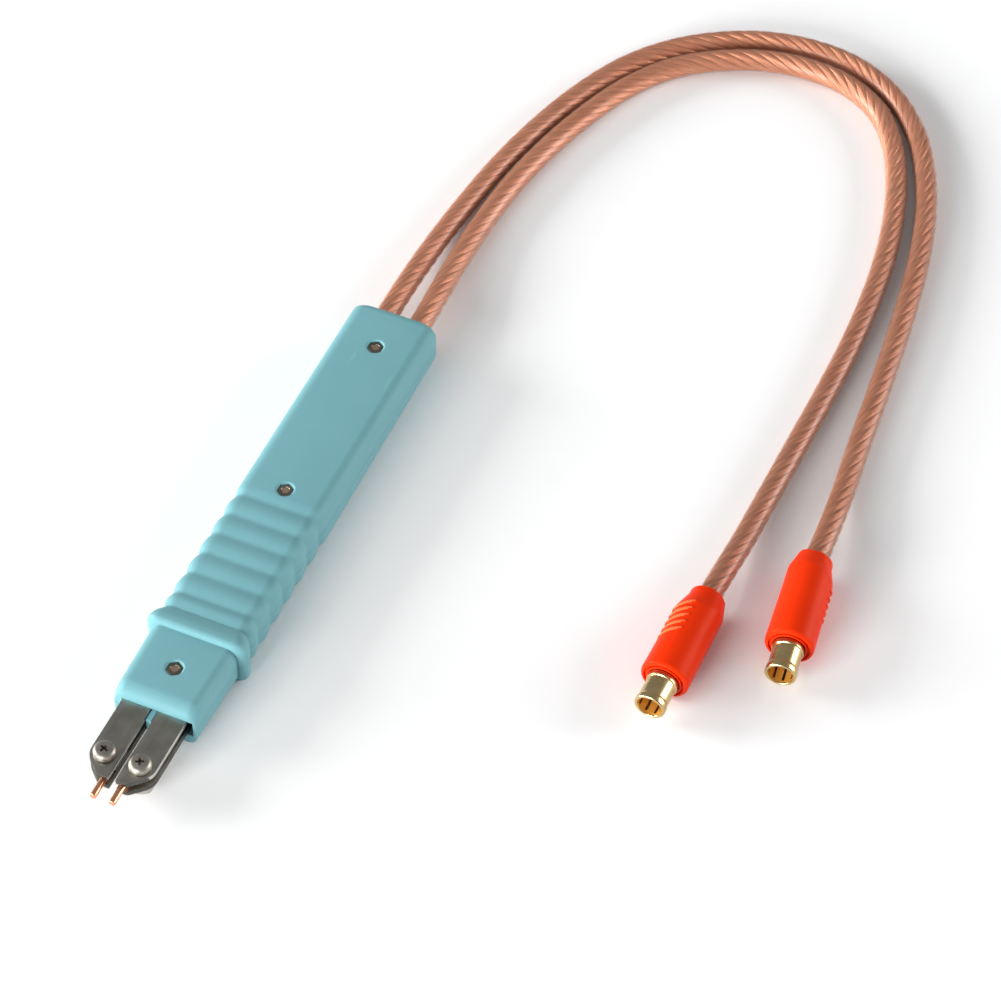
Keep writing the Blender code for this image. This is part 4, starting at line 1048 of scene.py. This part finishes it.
def socketForm():
    k = socket
    (rearRun, rearRound), (frontRun, frontRound) = k["waistRear"], k["waistFront"]
    rimStart = k["mouth"] - k["rimLength"]
    corners = [
        (0, k["web"], 0), (k["cup"], k["web"], 0),
        (k["cup"], k["rear"], k["rearEdge"]), (k["radius"], k["rear"], k["rearEdge"]),
        (k["radius"], k["flangeEnd"] - k["flangeRear"][0], 0),
        (k["flange"], k["flangeEnd"] - k["flangeRear"][1], k["flangeEdges"][0]),
        (k["flange"], k["flangeEnd"], k["flangeEdges"][1]),
        (k["waist"], k["flangeEnd"] + rearRun, rearRound), (k["waist"], rimStart - frontRun, frontRound),
        (k["rim"], rimStart, k["rimRound"]), (k["rim"], k["mouth"], k["lipOut"]),
        (k["bore"], k["mouth"], k["lipIn"]), (k["bore"], k["boreEnd"], k["boreRound"]),
        (0, k["boreEnd"], 0),
    ]
    bm = bmesh.new()
    addTurned(bm, softened(corners, k["cornerSteps"]), k["count"])
    form = rawPiece(bm, "socket")
    bm = bmesh.new()
    for i in range(k["flutes"]):  # shallow grooves down the bore
        turn = 2 * math.pi * (i + 0.5) / k["flutes"]
        spot = (k["bore"] * math.cos(turn), k["bore"] * math.sin(turn), k["mouth"] - k["fluteMiddle"])
        addRod(bm, Matrix.Translation(spot), k["fluteRadius"], k["fluteLength"], k["fluteSides"])
    combine(form, rawPiece(bm, "flutes"))
    return form


plugPieces = {}
bootShape, socketShape = bootForm(), socketForm()
for name, label, _ in sides:
    spec = plugs[name]
    place = Matrix.Translation((pen["rear"] + spec["rear"][0], spec["rear"][1], bootRadius))
    place = place @ Matrix.Rotation(math.radians(spec["turn"]), 4, "Z")
    place = place @ Matrix.Rotation(math.radians(spec["roll"]), 4, "X") @ zToX
    plugPieces[name] = []
    for shape, word, node, slot, finish in (
        (bootShape, "plugBoot", "plug_boot_", "red_plastic", redMoulding),
        (socketShape, "plugSocket", "plug_socket_", "gold_plate", metals["gold"]),
    ):
        piece = twin(shape)
        piece.name = word + label
        piece.data.transform(place)
        plugPieces[name].append(settle(piece, "handle", slot, finish, node + name))
    back = place.inverted() @ Matrix.Scale(1 / toMetres, 4)
    near, far = socket["grooveReach"]

    def boreReach(face):  # how far behind the bore's wall a face in the bore lies
        spot = back @ face.center
        inside = socket["boreEnd"] < spot.z < socket["mouth"] - socket["lipDepth"]
        return math.hypot(spot.x, spot.y) - socket["bore"] if inside else math.inf

    def onCrest(face):
        spot = back @ face.center
        return math.hypot(spot.x, spot.y) > boot["ribCrest"] and spot.z < boot["ribEnd"]

    # the rib crests get a lighter red as a painted highlight
    tint(plugPieces[name][0], ribHighlightMoulding, onCrest)
    # the bore wall gets the amber, painted light over the gold's own colour
    tint(plugPieces[name][1], metals["amber"], lambda face: boreReach(face) < far)
    # the flutes get dark metal as painted shade in the grooves
    tint(plugPieces[name][1], metals["dark"], lambda face: near < boreReach(face) < far)
for shape in (bootShape, socketShape):
    bpy.data.objects.remove(shape)
print("plugs made")

# What stays hidden in the housing and the plugs keeps its CAD shape
innerFinishes = {
    "jaw_rivet_": metals["copper"], "cable_lug_": metals["copper"], "cable_core_": metals["copper"],
    "cable_tail_": jacketPlastic, "plug_core_": metals["copper"],
}
for start, finish in innerFinishes.items():
    for name, _, _ in sides:
        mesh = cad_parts[start + name].data
        mesh.materials.clear()
        mesh.materials.append(finish)

# Floor and light
studio = {
    "sky": (0.97, 0.99, 1.0, 1),
    "skyStrength": 0.30,
    "size": 1.5,
    "lights": {  # place and power
        "front": ((2.75, -0.75, 0.78), 131),
        "left": ((0.50, -2.88, 0.78), 134),
        "right": ((-1.55, 2.38, 0.78), 63),
    },
    "floor": 8, "floorDrop": 0.0002,
    "paperScale": 90, "paperRough": 0.8,
    "paperDeep": (0.93, 0.93, 0.93, 1), "paperPale": (0.96, 0.96, 0.96, 1),
}
bm = bmesh.new()
under = Matrix.Translation((0, 0, -studio["floorDrop"]))
bmesh.ops.create_grid(bm, x_segments=1, y_segments=1, size=studio["floor"], matrix=under)
floor = rawPiece(bm, "paleFloor")
floorFinish, shader, flow = newFinish("palePaper")
paper = noiseOn(flow, flow.node("ShaderNodeTexCoord", out="Object"), studio["paperScale"])
shade = mixed(flow, paper, studio["paperDeep"], studio["paperPale"])
flow.feed(shader.inputs["Base Color"], shade)
shader.inputs["Roughness"].default_value = studio["paperRough"]
floor.data.materials.append(floorFinish)
world = bpy.data.worlds.new("studio")
world.use_nodes = True
world.node_tree.nodes["Background"].inputs["Color"].default_value = studio["sky"]
world.node_tree.nodes["Background"].inputs["Strength"].default_value = studio["skyStrength"]
bpy.context.scene.world = world
for name, (place, power) in studio["lights"].items():
    lamp = bpy.data.lights.new(name + "Light", "AREA")
    lamp.size = studio["size"]
    lamp.energy = power
    light = bpy.data.objects.new(name + "Light", lamp)
    light.location = place
    light.rotation_euler = (-Vector(place)).to_track_quat("-Z", "Y").to_euler()
    light.visible_camera = False
    bpy.context.collection.objects.link(light)
bpy.context.scene.view_settings.view_transform = "Standard"
print("floor and light set")

for name, label, side in sides:
    pathLength(cablePaths[name]) / 1000
    [point / 1000 for point in cablePaths[name]]
    "plug_core_" + name
